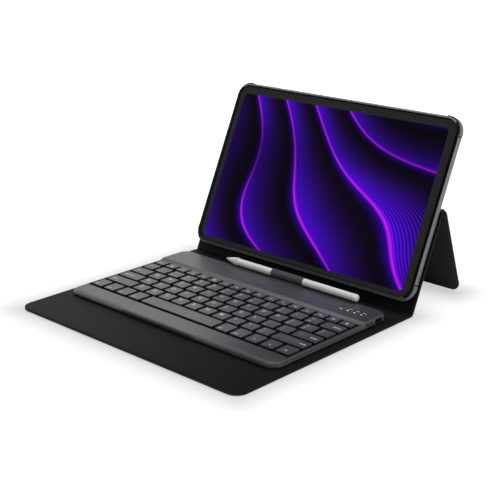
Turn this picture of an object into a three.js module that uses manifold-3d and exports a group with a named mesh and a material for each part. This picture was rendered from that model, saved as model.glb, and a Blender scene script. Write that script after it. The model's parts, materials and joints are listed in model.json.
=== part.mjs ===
// Tablet keyboard case, open on a table: a folio of stiffened cover panels joined by soft creases, a
// pan-shaped tray that holds a tablet, a fold-out kickstand, a slim wireless keyboard and a stylus in a
// loop. Millimetres, +Z up, +X to the right of the person typing, +Y away from them. The origin lies on
// the table, under the middle of the base panel.
import * as THREE from 'three';
import Module from 'manifold-3d';
import { mergeVertices } from 'three/addons/utils/BufferGeometryUtils.js';

const wasm = await Module();
wasm.setup();
const { Manifold, Mesh: SolidMesh } = wasm;

// ---------------------------------------------------------------- driving dimensions (mm, degrees)

const COVER = {
  width: 259.5, thickness: 2.7, skin: 0.7, lining: 0.55, rim: 3, creaseGap: 1.5, layerGap: 0.1,
  frontY: -106.3, cornerRadius: 11, creaseRadius: 1.5, edgeRounding: 0.5,
};
const SPINE = { baseCreaseY: 90, length: 19.3 };
const REAR = { lean: 65.4, creaseToTray: 9.3, length: 92.8 };
const STAND = { width: 248, stripLength: 13.5, stripFold: 84.9, flapFold: 50.3, cornerRadius: 8 };
const TRAY = {
  width: 256, height: 162.8, depth: 8.95, radius: 13.5, wall: 2.4, floor: 1.2, backRounding: 1,
  lipRounding: 0.7,
};
const BUMPER = { reach: 15.5, proud: 0.6, inset: 1, low: 0.9, high: 8.3, gap: 0.12 };
const TABLET = { clearance: 0.3, thickness: 6.1, glass: 0.7, radius: 10.6, glassInset: 0.35 };
const CAMERA = { fromCentre: 104, fromTop: 19.7, window: 15, windowRadius: 4.5, lens: 5, bump: 0.9 };
const SIDE_KEYS = { travel: 0.4, height: 3.4, proud: 0.7, slotGap: 0.3, depth: 1.5 };

const KEYBOARD = {
  width: 243.6, frontY: -58.5, rearY: 86, bottom: 2.9, bottomCase: 1.1, rimTop: 7.6, deckTop: 9.2,
  frontRadius: 10, rearRadius: 9.5, deckFrontY: 54.3, deckSlope: 3.2, wellFloor: 5, edge: 1.9,
};
const KEYS = {
  fieldWidth: 233.6, top: 8.3, height: 1.6, web: 0.3, unit: 13.05, gap: 3.4, taper: 0.7,
  smallUnit: 11.1, smallGap: 2.7, rowGap: 2.6,
};
const WELL = { width: 239.2, frontY: -38.7, rearY: 50 };
const STYLUS = { radius: 3.25, y: 84.75, z: 13.45, tipX: -65.5, endX: 89.8, cone: 15, cap: 5, nib: 0.8 };
const LOOP = { startX: -7, endX: 30, thickness: 0.35, clearance: 0.05, flange: 0.6, flangeY: 79.2 };

const HALF = COVER.thickness / 2;
const radians = THREE.MathUtils.degToRad;

// ---------------------------------------------------------------- materials

const finish = (color, roughness, metalness = 0) =>
  new THREE.MeshStandardMaterial({ color, roughness, metalness });
const FINISH = {
  skin: finish(0x232323, 0.75),
  lining: finish(0x2e2e2e, 0.85),
  board: finish(0x4a453e, 0.9),
  tray: finish(0x2c2c2d, 0.5),
  bumper: finish(0x242424, 0.6),
  deck: finish(0x5b5a5e, 0.45),
  shell: finish(0x161616, 0.6),
  key: finish(0x5e5d61, 0.5),
  rubber: finish(0x101010, 0.9),
  metal: finish(0xb8b8ba, 0.3, 1),
  circuit: finish(0x1f4a34, 0.6),
  battery: finish(0x8d9096, 0.4, 0.3),
  housing: finish(0x3a3b3e, 0.35, 0.6),
  glass: finish(0x050507, 0.08),
  light: finish(0xd8e6d8, 0.3),
  pen: finish(0xd4d4d4, 0.35),
  loop: finish(0x45434a, 0.7),
};

// ---------------------------------------------------------------- geometry helpers

// Outline of a rounded rectangle, anticlockwise from its front left corner; tight corners are one facet.
function roundedOutline({ x = 0, y = 0, width, length, front, rear = front, segments = 5 }, inset = 0) {
  const halfX = width / 2 - inset;
  const halfY = length / 2 - inset;
  const corners = [[-1, -1, front, 180], [1, -1, front, 270], [1, 1, rear, 0], [-1, 1, rear, 90]];
  const points = [];
  for (const [sideX, sideY, wanted, start] of corners) {
    const radius = Math.max(wanted - inset, 0.15);
    const steps = wanted > 2 ? segments : 1;
    for (let step = 0; step <= steps; step += 1) {
      const angle = radians(start + (90 * step) / steps);
      points.push([
        x + sideX * (halfX - radius) + radius * Math.cos(angle),
        y + sideY * (halfY - radius) + radius * Math.sin(angle),
      ]);
    }
  }
  return points;
}

// Closed solid through rings of equally many points, each ring a convex outline at one height.
function stackRings(rings) {
  const count = rings[0].length;
  const positions = rings.flat(2);
  const index = [];
  for (let level = 0; level + 1 < rings.length; level += 1) {
    for (let i = 0; i < count; i += 1) {
      const low = level * count + i;
      const lowNext = level * count + ((i + 1) % count);
      index.push(low, lowNext, lowNext + count, low, lowNext + count, low + count);
    }
  }
  const top = (rings.length - 1) * count;
  for (let i = 1; i + 1 < count; i += 1) {
    index.push(0, i + 1, i, top, top + i, top + i + 1);
  }
  const geometry = new THREE.BufferGeometry();
  geometry.setAttribute('position', new THREE.Float32BufferAttribute(positions, 3));
  geometry.setIndex(index);
  return geometry;
}

// Block with a rounded-rectangle plan; levels lists [height, inset] from the bottom up.
const block = (plan, levels) =>
  stackRings(levels.map(([z, inset = 0]) => roundedOutline(plan, inset).map(([x, y]) => [x, y, z])));

const box = (x0, x1, y0, y1, z0, z1) =>
  new THREE.BoxGeometry(x1 - x0, y1 - y0, z1 - z0)
    .translate((x0 + x1) / 2, (y0 + y1) / 2, (z0 + z1) / 2);

// Bar along X whose cross-section is a shape drawn in (Y, Z).
const barAlongX = (shape, x0, x1, curveSegments = 6) =>
  new THREE.ExtrudeGeometry(shape, { depth: x1 - x0, bevelEnabled: false, curveSegments })
    .rotateY(Math.PI / 2).rotateX(Math.PI / 2).translate(x0, 0, 0);

function solid(geometry) {
  const bare = geometry.clone();
  bare.deleteAttribute('normal');
  bare.deleteAttribute('uv');
  const merged = mergeVertices(bare, 1e-4);
  return new Manifold(new SolidMesh({
    numProp: 3,
    vertProperties: new Float32Array(merged.attributes.position.array),
    triVerts: new Uint32Array(merged.index.array),
  }));
}

function toGeometry(manifold) {
  const { vertProperties, triVerts } = manifold.getMesh();
  const geometry = new THREE.BufferGeometry();
  geometry.setAttribute('position', new THREE.BufferAttribute(vertProperties, 3));
  geometry.setIndex(new THREE.BufferAttribute(triVerts, 1));
  return geometry;
}

const cut = (body, ...tools) =>
  toGeometry(tools.reduce((rest, tool) => rest.subtract(solid(tool)), solid(body)));
const join = (...bodies) => toGeometry(bodies.map(solid).reduce((all, body) => all.add(body)));
const common = (first, second) => toGeometry(solid(first).intersect(solid(second)));

function add(group, name, geometry, material) {
  const mesh = new THREE.Mesh(geometry, material);
  mesh.name = name;
  group.add(mesh);
}

// Group whose origin is a crease axis, halfway through the covers, turned about X from its parent.
function foldedGroup(parent, y, z, degrees) {
  const group = new THREE.Group();
  group.position.set(0, y, z);
  group.rotation.x = radians(degrees);
  parent.add(group);
  return group;
}

// ---------------------------------------------------------------- cover panels

// A panel is an outer skin with a turned edge round a pocket, a board in the pocket and a lining.
function coverPanel(group, name, plan, { holes = [], hasLining = true } = {}) {
  const { skin, lining, rim, layerGap, edgeRounding } = COVER;
  const rimTop = HALF - (hasLining ? lining + layerGap : edgeRounding);
  const pocketFloor = -HALF + skin;
  const outer = block(plan, [
    [-HALF, edgeRounding], [-HALF + edgeRounding, 0], [rimTop, 0], ...(hasLining ? [] : [[HALF, edgeRounding]]),
  ]);
  const grown = (tool, extra) => block({ ...tool, width: tool.width + extra, length: tool.length + extra },
    [[-HALF - 1], [HALF + 1]]);
  const pocket = block(plan, [[pocketFloor, rim], [HALF + 1, rim]]);
  const pocketWithPosts = holes.length ? cut(pocket, ...holes.map((hole) => grown(hole, 2))) : pocket;
  add(group, `${name}_outer_skin`, cut(outer, pocketWithPosts, ...holes.map((hole) => grown(hole, 0))),
    FINISH.skin);

  const inset = rim + layerGap;
  const board = block(plan, [[pocketFloor + layerGap, inset], [rimTop - layerGap, inset]]);
  const boardCuts = [...holes.map((hole) => grown(hole, 2.3)), ...(plan.boardCuts ?? [])];
  add(group, `${name}_board`, boardCuts.length ? cut(board, ...boardCuts) : board, FINISH.board);

  if (hasLining) {
    const sheet = block(plan, [[HALF - lining, 0], [HALF - edgeRounding / 2, 0], [HALF, edgeRounding / 2]]);
    add(group, `${name}_inner_lining`, cut(sheet, ...holes.map((hole) => grown(hole, 0))), FINISH.lining);
  }
}

const planBetween = (y0, y1, width, front, rear) => ({
  width, y: (y0 + y1) / 2, length: y1 - y0, front, rear,
});

function buildBase(root) {
  const group = foldedGroup(root, 0, HALF, 0);
  const rearY = SPINE.baseCreaseY - COVER.creaseGap;
  const plan = planBetween(COVER.frontY, rearY, COVER.width, COVER.cornerRadius, COVER.creaseRadius);
  const magnet = { x: 88, y: 60, size: 12, thickness: 0.8 };
  const slot = box(-magnet.x - 8, magnet.x + 8, magnet.y - 8, magnet.y + 8, -HALF, HALF);
  coverPanel(group, 'base', { ...plan, boardCuts: [slot] });

  const pads = [-1, 1].map((side) => block(
    { x: side * magnet.x, y: magnet.y, width: magnet.size, length: magnet.size, front: 2 },
    [[-magnet.thickness / 2], [magnet.thickness / 2]],
  ));
  const strip = box(-magnet.x, magnet.x, magnet.y - 2.5, magnet.y + 2.5, -0.3, 0);
  add(group, 'keyboard_holding_magnets', join(strip, ...pads), FINISH.metal);
}

function buildSpine(root) {
  const group = foldedGroup(root, SPINE.baseCreaseY, HALF, 0);
  const plan = planBetween(COVER.creaseGap, SPINE.length - COVER.creaseGap, COVER.width,
    COVER.creaseRadius, COVER.creaseRadius);
  coverPanel(group, 'spine', plan, { hasLining: false });
  return group;
}

const cameraY = REAR.creaseToTray + TRAY.height - CAMERA.fromTop;

function buildStand(rear) {
  const strip = foldedGroup(rear, REAR.length, 0, -STAND.stripFold);
  const stripPlan = planBetween(COVER.creaseGap, STAND.stripLength - COVER.creaseGap, STAND.width,
    COVER.creaseRadius, COVER.creaseRadius);
  coverPanel(strip, 'stand_strip', stripPlan, { hasLining: false });

  const flap = foldedGroup(strip, STAND.stripLength, 0, -STAND.flapFold);
  const slope = radians(STAND.stripFold + STAND.flapFold - REAR.lean);
  const stripSlope = radians(STAND.stripFold - REAR.lean);
  const flapTopZ = HALF + REAR.length * Math.sin(radians(REAR.lean)) - STAND.stripLength * Math.sin(stripSlope);
  const flapLength = (flapTopZ - HALF * Math.cos(slope)) / Math.sin(slope);
  const flapPlan = planBetween(COVER.creaseGap, flapLength, STAND.width, COVER.creaseRadius,
    STAND.cornerRadius);
  const cameraHole = {
    x: -CAMERA.fromCentre, y: cameraY - REAR.length - STAND.stripLength,
    width: CAMERA.window + 3, length: CAMERA.window + 3, front: CAMERA.windowRadius + 1.5,
  };
  coverPanel(flap, 'stand_flap', flapPlan, { holes: [cameraHole] });
}

// ---------------------------------------------------------------- tray and tablet

// The tray's own frame: X and Y from the tray's middle, Z from its back face to its lip.
const trayPlan = { width: TRAY.width, length: TRAY.height, front: TRAY.radius };
const pocketPlan = {
  width: TRAY.width - 2 * TRAY.wall, length: TRAY.height - 2 * TRAY.wall, front: TRAY.radius - TRAY.wall,
};
const BUTTONS = {
  volume_button_cover: { x: -89, width: 19 },
  power_button_cover: { x: -66, width: 10 },
};

function cornerZone(sideX, sideY, low, high, grow) {
  const cornerX = sideX * TRAY.width / 2;
  const cornerY = sideY * TRAY.height / 2;
  const reach = BUMPER.reach + grow;
  const [x0, x1] = [cornerX - sideX * reach, cornerX + sideX * 5].sort((a, b) => a - b);
  const [y0, y1] = [cornerY - sideY * reach, cornerY + sideY * 5].sort((a, b) => a - b);
  return box(x0, x1, y0, y1, low, high);
}

function buildTray(group) {
  const { depth, floor, backRounding: round, lipRounding: lip } = TRAY;
  const outer = block(trayPlan, [
    [0, round], [round * 0.134, round / 2], [round * 0.5, round * 0.134], [round, 0],
    [depth - lip, 0], [depth, lip],
  ]);
  const pocket = block(pocketPlan, [[floor, 1], [floor + 1, 0], [depth + 1, 0]]);
  const lens = block({
    x: -CAMERA.fromCentre, y: TRAY.height / 2 - CAMERA.fromTop, width: CAMERA.window,
    length: CAMERA.window, front: CAMERA.windowRadius,
  }, [[-1], [floor + 1]]);
  const chargingSlot = box(-TRAY.width, -TRAY.width / 2 + TRAY.wall + 1, -7, 7, floor + 1.4, depth - 2.2);
  const speakerSlots = [-48, 48].map((y) =>
    box(-TRAY.width, -TRAY.width / 2 + TRAY.wall + 1, y - 10, y + 10, floor + 2, depth - 3));

  const midZ = (floor + depth) / 2;
  const slots = Object.values(BUTTONS).map(({ x, width }) => {
    const half = width / 2 + SIDE_KEYS.slotGap;
    const tall = SIDE_KEYS.height / 2 + SIDE_KEYS.slotGap;
    return box(x - half, x + half, TRAY.height / 2 - TRAY.wall - 1, TRAY.height, midZ - tall, midZ + tall);
  });

  const low = BUMPER.low - BUMPER.gap;
  const high = BUMPER.high + BUMPER.gap;
  const core = block(trayPlan, [[0, BUMPER.inset + BUMPER.gap], [depth, BUMPER.inset + BUMPER.gap]]);
  const corners = [[-1, -1], [1, -1], [1, 1], [-1, 1]];
  const seats = corners.map(([sx, sy]) => cut(cornerZone(sx, sy, low, high, BUMPER.gap), core));
  add(group, 'tray_shell', cut(outer, pocket, lens, chargingSlot, ...speakerSlots, ...slots, ...seats),
    FINISH.tray);

  const names = ['lower_left', 'lower_right', 'upper_right', 'upper_left'];
  const bumperPlan = {
    width: TRAY.width + 2 * BUMPER.proud, length: TRAY.height + 2 * BUMPER.proud,
    front: TRAY.radius + BUMPER.proud,
  };
  const bumperRing = cut(
    block(bumperPlan, [[BUMPER.low, 0.8], [BUMPER.low + 0.9, 0], [BUMPER.high - 0.5, 0], [BUMPER.high, 0.5]]),
    block(trayPlan, [[-1, BUMPER.inset], [depth + 1, BUMPER.inset]]),
  );
  corners.forEach(([sx, sy], i) => {
    const zone = cornerZone(sx, sy, BUMPER.low - 1, BUMPER.high + 1, 0);
    add(group, `tray_bumper_${names[i]}`, common(bumperRing, zone), FINISH.bumper);
  });

  for (const [name, { x, width }] of Object.entries(BUTTONS)) {
    const pad = block({ x, y: 0, width, length: SIDE_KEYS.height, front: 1.6, segments: 3 },
      [[-SIDE_KEYS.depth, 0], [SIDE_KEYS.proud - 0.3, 0], [SIDE_KEYS.proud, 0.3]]);
    pad.rotateX(-Math.PI / 2).translate(0, TRAY.height / 2, midZ);
    add(group, name, pad, FINISH.bumper);
  }
}

function buildTablet(group) {
  const back = TRAY.floor + TABLET.clearance;
  const front = back + TABLET.thickness;
  const split = front - TABLET.glass;
  const plan = {
    width: pocketPlan.width - 2 * TABLET.clearance, length: pocketPlan.length - 2 * TABLET.clearance,
    front: TABLET.radius,
  };
  add(group, 'tablet_housing', block(plan, [[back, 1.2], [back + 1.2, 0.15], [split - 0.6, 0], [split, 0]]),
    FINISH.housing);
  add(group, 'tablet_front_glass', block(plan, [
    [split + COVER.layerGap, TABLET.glassInset], [front - 0.15, TABLET.glassInset],
    [front, TABLET.glassInset + 0.2],
  ]), FINISH.glass);

  const lens = new THREE.CylinderGeometry(CAMERA.lens, CAMERA.lens, CAMERA.bump, 24)
    .rotateX(Math.PI / 2)
    .translate(-CAMERA.fromCentre, TRAY.height / 2 - CAMERA.fromTop, back - 0.1 - CAMERA.bump / 2);
  add(group, 'tablet_camera', lens, FINISH.glass);
}

function buildRear(root) {
  const crease = SPINE.baseCreaseY + SPINE.length;
  const rear = foldedGroup(root, crease, HALF, REAR.lean);
  const plan = planBetween(COVER.creaseGap, REAR.length - COVER.creaseGap, COVER.width,
    COVER.creaseRadius, COVER.creaseRadius);
  coverPanel(rear, 'rear', plan);
  buildStand(rear);

  const tray = new THREE.Group();
  tray.position.set(0, REAR.creaseToTray + TRAY.height / 2, HALF + 3 * COVER.layerGap);
  rear.add(tray);
  buildTray(tray);
  buildTablet(tray);
}

// ---------------------------------------------------------------- keyboard

const casePlan = {
  width: KEYBOARD.width, y: (KEYBOARD.frontY + KEYBOARD.rearY) / 2,
  length: KEYBOARD.rearY - KEYBOARD.frontY, front: KEYBOARD.frontRadius, rear: KEYBOARD.rearRadius,
};
const caseSplit = KEYBOARD.bottom + KEYBOARD.bottomCase;
const BAY = { halfWidth: 112, frontY: 56.5, rearY: 82, top: 8.2 };
const PORT = { y: 72, z: 6.1, width: 9, height: 3.2, depth: 7 };
const SWITCH = { y: 59.5, width: 3.4, height: 1.8, travel: 1.5, proud: 0.8 };
const LIGHTS = { firstX: 87, pitch: 7.2, y: 65.5, radius: 0.75, count: 4, carrier: 1 };

function buildCase(group) {
  const { bottom, rimTop, deckTop, edge, deckFrontY, deckSlope } = KEYBOARD;
  add(group, 'keyboard_bottom_case', block(casePlan, [[bottom, 0.9], [bottom + 0.6, 0], [caseSplit, 0]]),
    FINISH.shell);

  const body = block(casePlan, [
    [caseSplit + 0.1, 0], [rimTop - edge, 0], [rimTop - edge / 3, edge / 3], [rimTop, edge],
  ]);
  const wholeDeck = block(casePlan, [
    [caseSplit + 0.1, 0], [deckTop - edge, 0], [deckTop - edge / 3, edge / 3], [deckTop, edge],
  ]);
  const wedge = new THREE.Shape([
    new THREE.Vector2(deckFrontY - deckSlope, caseSplit),
    new THREE.Vector2(KEYBOARD.rearY + 5, caseSplit),
    new THREE.Vector2(KEYBOARD.rearY + 5, deckTop + 1),
    new THREE.Vector2(deckFrontY, deckTop + 1),
    new THREE.Vector2(deckFrontY, deckTop),
    new THREE.Vector2(deckFrontY - deckSlope, rimTop),
  ]);
  const deck = common(wholeDeck, barAlongX(wedge, -KEYBOARD.width, KEYBOARD.width));

  const well = block(planBetween(WELL.frontY, WELL.rearY, WELL.width, 1.5, 1.5),
    [[KEYBOARD.wellFloor], [deckTop + 1]]);
  const bay = box(-BAY.halfWidth, BAY.halfWidth, BAY.frontY, BAY.rearY, bottom, BAY.top);
  const side = KEYBOARD.width / 2;
  const portHole = box(side - PORT.depth - 5, side + 1, PORT.y - PORT.width / 2 - 0.2,
    PORT.y + PORT.width / 2 + 0.2, PORT.z - PORT.height / 2 - 0.2, PORT.z + PORT.height / 2 + 0.2);
  const reach = SWITCH.width / 2 + SWITCH.travel + 0.2;
  const switchHole = box(side - 12, side + 1, SWITCH.y - reach, SWITCH.y + reach,
    PORT.z - SWITCH.height / 2 - 0.2, PORT.z + SWITCH.height / 2 + 0.2);
  const lightHoles = Array.from({ length: LIGHTS.count }, (_, i) =>
    new THREE.CylinderGeometry(LIGHTS.radius + 0.15, LIGHTS.radius + 0.15, 4, 12)
      .rotateX(Math.PI / 2).translate(LIGHTS.firstX + i * LIGHTS.pitch, LIGHTS.y, deckTop));
  add(group, 'keyboard_top_case', cut(join(body, deck), well, bay, portHole, switchHole, ...lightHoles),
    FINISH.deck);
}

function buildElectronics(group) {
  const floor = caseSplit + 0.2;
  const side = KEYBOARD.width / 2;
  add(group, 'key_membrane', block(planBetween(WELL.frontY + 0.4, WELL.rearY - 0.4, WELL.width - 0.8, 1, 1),
    [[KEYBOARD.wellFloor + 0.05], [KEYBOARD.wellFloor + 0.35]]), FINISH.rubber);
  add(group, 'battery_pack', block({ x: -30, y: 69, width: 90, length: 22, front: 2 },
    [[floor, 0.5], [floor + 0.6, 0], [floor + 2.6, 0], [floor + 3.2, 0.6]]), FINISH.battery);

  const board = box(22, 111.5, 57.2, 81.5, floor, floor + 0.8);
  const chips = [[40, 70, 9], [58, 66, 6], [72, 72, 5]].map(([x, y, size]) =>
    box(x - size / 2, x + size / 2, y - size / 2, y + size / 2, floor + 0.6, floor + 1.9));
  add(group, 'controller_board', join(board, ...chips), FINISH.circuit);

  const halfWidth = PORT.width / 2;
  const halfHeight = PORT.height / 2;
  const shell = box(side - PORT.depth, side - 0.3, PORT.y - halfWidth, PORT.y + halfWidth,
    PORT.z - halfHeight, PORT.z + halfHeight);
  const mouth = box(side - PORT.depth + 1, side, PORT.y - halfWidth + 0.4, PORT.y + halfWidth - 0.4,
    PORT.z - halfHeight + 0.4, PORT.z + halfHeight - 0.4);
  const tongue = box(side - PORT.depth + 0.5, side - 1.2, PORT.y - 3, PORT.y + 3, PORT.z - 0.3, PORT.z + 0.3);
  add(group, 'charging_port', join(cut(shell, mouth), tongue), FINISH.metal);

  const slider = box(side - 8, side + SWITCH.proud, SWITCH.y - SWITCH.width / 2,
    SWITCH.y + SWITCH.width / 2, PORT.z - SWITCH.height / 2, PORT.z + SWITCH.height / 2);
  add(group, 'power_switch', slider, FINISH.shell);

  const lastX = LIGHTS.firstX + (LIGHTS.count - 1) * LIGHTS.pitch;
  const carrierTop = BAY.top - 0.1;
  const carrier = box(LIGHTS.firstX - 2, lastX + 2, LIGHTS.y - 2, LIGHTS.y + 2,
    carrierTop - LIGHTS.carrier, carrierTop);
  const pipes = Array.from({ length: LIGHTS.count }, (_, i) =>
    new THREE.CylinderGeometry(LIGHTS.radius, LIGHTS.radius, 2, 12).rotateX(Math.PI / 2)
      .translate(LIGHTS.firstX + i * LIGHTS.pitch, LIGHTS.y, KEYBOARD.deckTop - 1 + 0.05));
  add(group, 'indicator_lights', join(carrier, ...pipes), FINISH.light);
}

// Each row fills the key field; a width of null takes what the other keys leave.
const unit = (count) => Array(count).fill(KEYS.unit);
const smallUnit = (count) => Array(count).fill(KEYS.smallUnit);
const ROWS = [
  {
    depth: 8.9, gap: KEYS.smallGap,
    keys: [['escape_key', [11.4]], ['function_keys', smallUnit(15)], ['lock_key', [null]]],
  },
  { depth: 12.1, keys: [['number_keys', [12.3, ...unit(12)]], ['backspace_key', [null]]] },
  { depth: 12.2, keys: [['tab_key', [19.3]], ['upper_letter_keys', unit(12)], ['backslash_key', [null]]] },
  { depth: 12.2, keys: [['caps_lock_key', [24]], ['middle_letter_keys', unit(11)], ['enter_key', [null]]] },
  {
    depth: 12.2,
    keys: [['left_shift_key', [31.6]], ['lower_letter_keys', unit(10)], ['right_shift_key', [null]]],
  },
  {
    depth: 14.6,
    keys: [
      ['left_modifier_keys', [12.3, ...unit(3)]], ['space_key', [null]],
      ['right_modifier_keys', unit(2)], ['arrow_keys', [...unit(2), 13.6]],
    ],
  },
];
const firstRowRearY = 48.9;

// Keys that share a node stand on one thin web, as the keys of a row stand on one rubber dome sheet.
function keyGroup(spans, y0, y1) {
  const { top, height, taper, web } = KEYS;
  const caps = spans.map(([x0, x1]) => block(
    { x: (x0 + x1) / 2, y: (y0 + y1) / 2, width: x1 - x0, length: y1 - y0, front: 1 },
    [[top - height, 0], [top - 0.35, taper / 3], [top, taper]],
  ));
  if (spans.length === 1) return caps[0];
  const middle = (y0 + y1) / 2;
  const strip = box(spans[0][0] + 2, spans[spans.length - 1][1] - 2, middle - 2, middle + 2,
    top - height, top - height + web);
  return join(strip, ...caps);
}

function buildKeys(group) {
  let rearY = firstRowRearY;
  for (const { depth, gap = KEYS.gap, keys } of ROWS) {
    const widths = keys.flatMap(([, list]) => list);
    const used = widths.reduce((sum, width) => sum + (width ?? 0), 0);
    const filler = KEYS.fieldWidth - used - gap * (widths.length - 1);
    let x = -KEYS.fieldWidth / 2;
    for (const [name, list] of keys) {
      const spans = list.map((width) => {
        const span = [x, x + (width ?? filler)];
        x = span[1] + gap;
        return span;
      });
      add(group, name, keyGroup(spans, rearY - depth, rearY), FINISH.key);
    }
    rearY -= depth + KEYS.rowGap;
  }
}

function buildStylus(group) {
  const { radius, y, z, tipX, endX, cone, cap, nib } = STYLUS;
  const along = (points) => new THREE.LatheGeometry(points.map(([r, x]) => new THREE.Vector2(r, x)), 24)
    .rotateZ(-Math.PI / 2).translate(0, y, z);
  const coneEnd = tipX + cone;
  const capStart = endX - cap;
  const gap = COVER.layerGap;
  add(group, 'stylus_tip', along([
    [0, tipX], [nib * 0.7, tipX + 0.15], [nib, tipX + 0.7], [radius * 0.62, tipX + cone * 0.45],
    [radius * 0.9, tipX + cone * 0.8], [radius, coneEnd], [0, coneEnd],
  ]), FINISH.pen);
  add(group, 'stylus_barrel', along([
    [0, coneEnd + gap], [radius, coneEnd + gap], [radius, capStart - gap], [0, capStart - gap],
  ]), FINISH.pen);
  add(group, 'stylus_cap', along([
    [0, capStart], [radius, capStart], [radius, endX - 2], [radius * 0.87, endX - 0.9],
    [radius * 0.6, endX - 0.2], [0, endX],
  ]), FINISH.pen);
}

function buildLoop(group) {
  const inner = STYLUS.radius + LOOP.clearance + 0.05;
  const outer = inner + LOOP.thickness;
  const ring = new THREE.Shape().absarc(STYLUS.y, STYLUS.z, outer, 0, 2 * Math.PI);
  ring.holes.push(new THREE.Path().absarc(STYLUS.y, STYLUS.z, inner, 0, 2 * Math.PI, true));
  const sleeve = barAlongX(ring, LOOP.startX, LOOP.endX, 14);
  const flangeLow = KEYBOARD.deckTop + 0.05;
  const flange = cut(
    box(LOOP.startX, LOOP.endX, LOOP.flangeY, STYLUS.y, flangeLow, flangeLow + LOOP.flange),
    new THREE.CylinderGeometry(inner, inner, 200, 28).rotateZ(Math.PI / 2).translate(0, STYLUS.y, STYLUS.z),
  );
  add(group, 'pen_loop', join(sleeve, flange), FINISH.loop);
}

function buildKeyboard(root) {
  const group = new THREE.Group();
  root.add(group);
  buildCase(group);
  buildElectronics(group);
  buildKeys(group);
  buildLoop(group);
  buildStylus(group);
}

const keyboardCase = new THREE.Group();
buildBase(keyboardCase);
buildSpine(keyboardCase);
buildRear(keyboardCase);
buildKeyboard(keyboardCase);

export default keyboardCase;
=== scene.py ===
"""Tablet keyboard case, open on a table: the looks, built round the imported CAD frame.

Shapes are written in millimetres in the part they belong to (a cover panel's own frame, the tray's own
frame or the row frame) and are placed with the creases and boxes that the frame gives.
"""
import json
import math

import bmesh
import bpy
from mathutils import Matrix, Vector


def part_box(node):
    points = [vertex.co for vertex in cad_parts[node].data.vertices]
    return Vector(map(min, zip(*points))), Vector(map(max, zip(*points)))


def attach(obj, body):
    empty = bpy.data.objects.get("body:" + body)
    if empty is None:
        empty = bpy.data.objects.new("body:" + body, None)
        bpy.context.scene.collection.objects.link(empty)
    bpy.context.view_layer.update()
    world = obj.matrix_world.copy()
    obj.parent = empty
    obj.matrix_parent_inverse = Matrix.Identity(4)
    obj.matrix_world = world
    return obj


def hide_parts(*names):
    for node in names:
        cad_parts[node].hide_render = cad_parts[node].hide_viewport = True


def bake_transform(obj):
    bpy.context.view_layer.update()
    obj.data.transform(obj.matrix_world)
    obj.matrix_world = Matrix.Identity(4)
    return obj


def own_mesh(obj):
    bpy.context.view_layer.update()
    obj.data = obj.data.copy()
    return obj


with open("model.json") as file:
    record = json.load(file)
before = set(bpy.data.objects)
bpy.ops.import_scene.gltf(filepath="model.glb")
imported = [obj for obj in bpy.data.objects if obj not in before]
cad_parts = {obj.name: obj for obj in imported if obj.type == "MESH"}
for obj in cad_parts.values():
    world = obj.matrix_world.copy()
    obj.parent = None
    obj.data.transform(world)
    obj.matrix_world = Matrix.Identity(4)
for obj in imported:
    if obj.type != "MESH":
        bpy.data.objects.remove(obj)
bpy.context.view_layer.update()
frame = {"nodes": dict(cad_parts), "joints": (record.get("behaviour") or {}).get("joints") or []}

MM = 0.001
ROW = Matrix.Identity(4)


# ------------------------------------------------------------------ places taken from the frame

def crease(name):
    """A hinge's place, from the record."""
    return Vector(next(j["pos_m"] for j in frame["joints"] if j["name"] == name))


def centre(node):
    low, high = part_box(node)
    return (low + high) / 2


def box_mm(node):
    low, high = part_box(node)
    return low / MM, high / MM


def middle_mm(node):
    return centre(node) / MM


def panel_frame(origin, towards):
    """Frame on a crease: X along it, Y down the panel, Z to the panel's inner side."""
    along = towards - origin
    along.x = 0
    along.normalize()
    across = Vector((1, 0, 0))
    place = Matrix((across, along, across.cross(along))).transposed().to_4x4()
    place.translation = origin
    return place


HALF = 1.35  # half a cover panel's thickness
BASE = Matrix.Translation((0, 0, HALF * MM))
AT_SPINE, AT_REAR = crease("base_spine_fold"), crease("rear_cover_fold")
AT_STRIP, AT_FLAP = crease("kickstand_fold"), crease("kickstand_flap_fold")
SPINE = panel_frame(AT_SPINE, AT_REAR)
REAR = panel_frame(AT_REAR, AT_STRIP)
STRIP = panel_frame(AT_STRIP, AT_FLAP)
FLAP = panel_frame(AT_FLAP, centre("stand_flap_board"))


def span(node, place):
    """A carried-over node's low and high corners in a part's own frame, in millimetres."""
    thing, back = frame["nodes"][node], place.inverted()
    points = [back @ (thing.matrix_world @ v.co) / MM for v in thing.data.vertices]
    return [Vector(tuple(pick(p[i] for p in points) for i in range(3))) for pick in (min, max)]


tray_low, tray_high = span("tray_shell", REAR)
TRAY_SIZE = tuple(tray_high - tray_low)
TRAY = REAR @ Matrix.Translation(Vector((0, (tray_low.y + tray_high.y) / 2, tray_low.z)) * MM)


# ------------------------------------------------------------------ mesh tools

def outline(width, length, front, rear=None, inset=0.0, segments=10, x=0.0, y=0.0):
    """Rounded rectangle, anticlockwise from its front left corner."""
    rear = front if rear is None else rear
    points = []
    corners = ((-1, -1, front, 180), (1, -1, front, 270), (1, 1, rear, 0), (-1, 1, rear, 90))
    for side_x, side_y, wanted, start in corners:
        radius = max(wanted - inset, 0.12)
        for step in range(segments + 1):
            angle = math.radians(start + 90 * step / segments)
            points.append((
                x + side_x * (width / 2 - inset - radius) + radius * math.cos(angle),
                y + side_y * (length / 2 - inset - radius) + radius * math.sin(angle),
            ))
    return points


def round_up(z, radius, steps=5, start=0.0):
    """(height, inset) levels of a rounded lower edge that starts at height z."""
    return [(z + radius * (1 - math.cos(a)), start + radius * (1 - math.sin(a)))
            for a in (math.pi / 2 * i / steps for i in range(steps + 1))]


def round_over(z, radius, steps=5, start=0.0):
    """(height, inset) levels of a rounded upper edge that ends at height z."""
    return [(z - radius + radius * math.sin(a), start + radius * (1 - math.cos(a)))
            for a in (math.pi / 2 * i / steps for i in range(steps + 1))]


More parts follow.
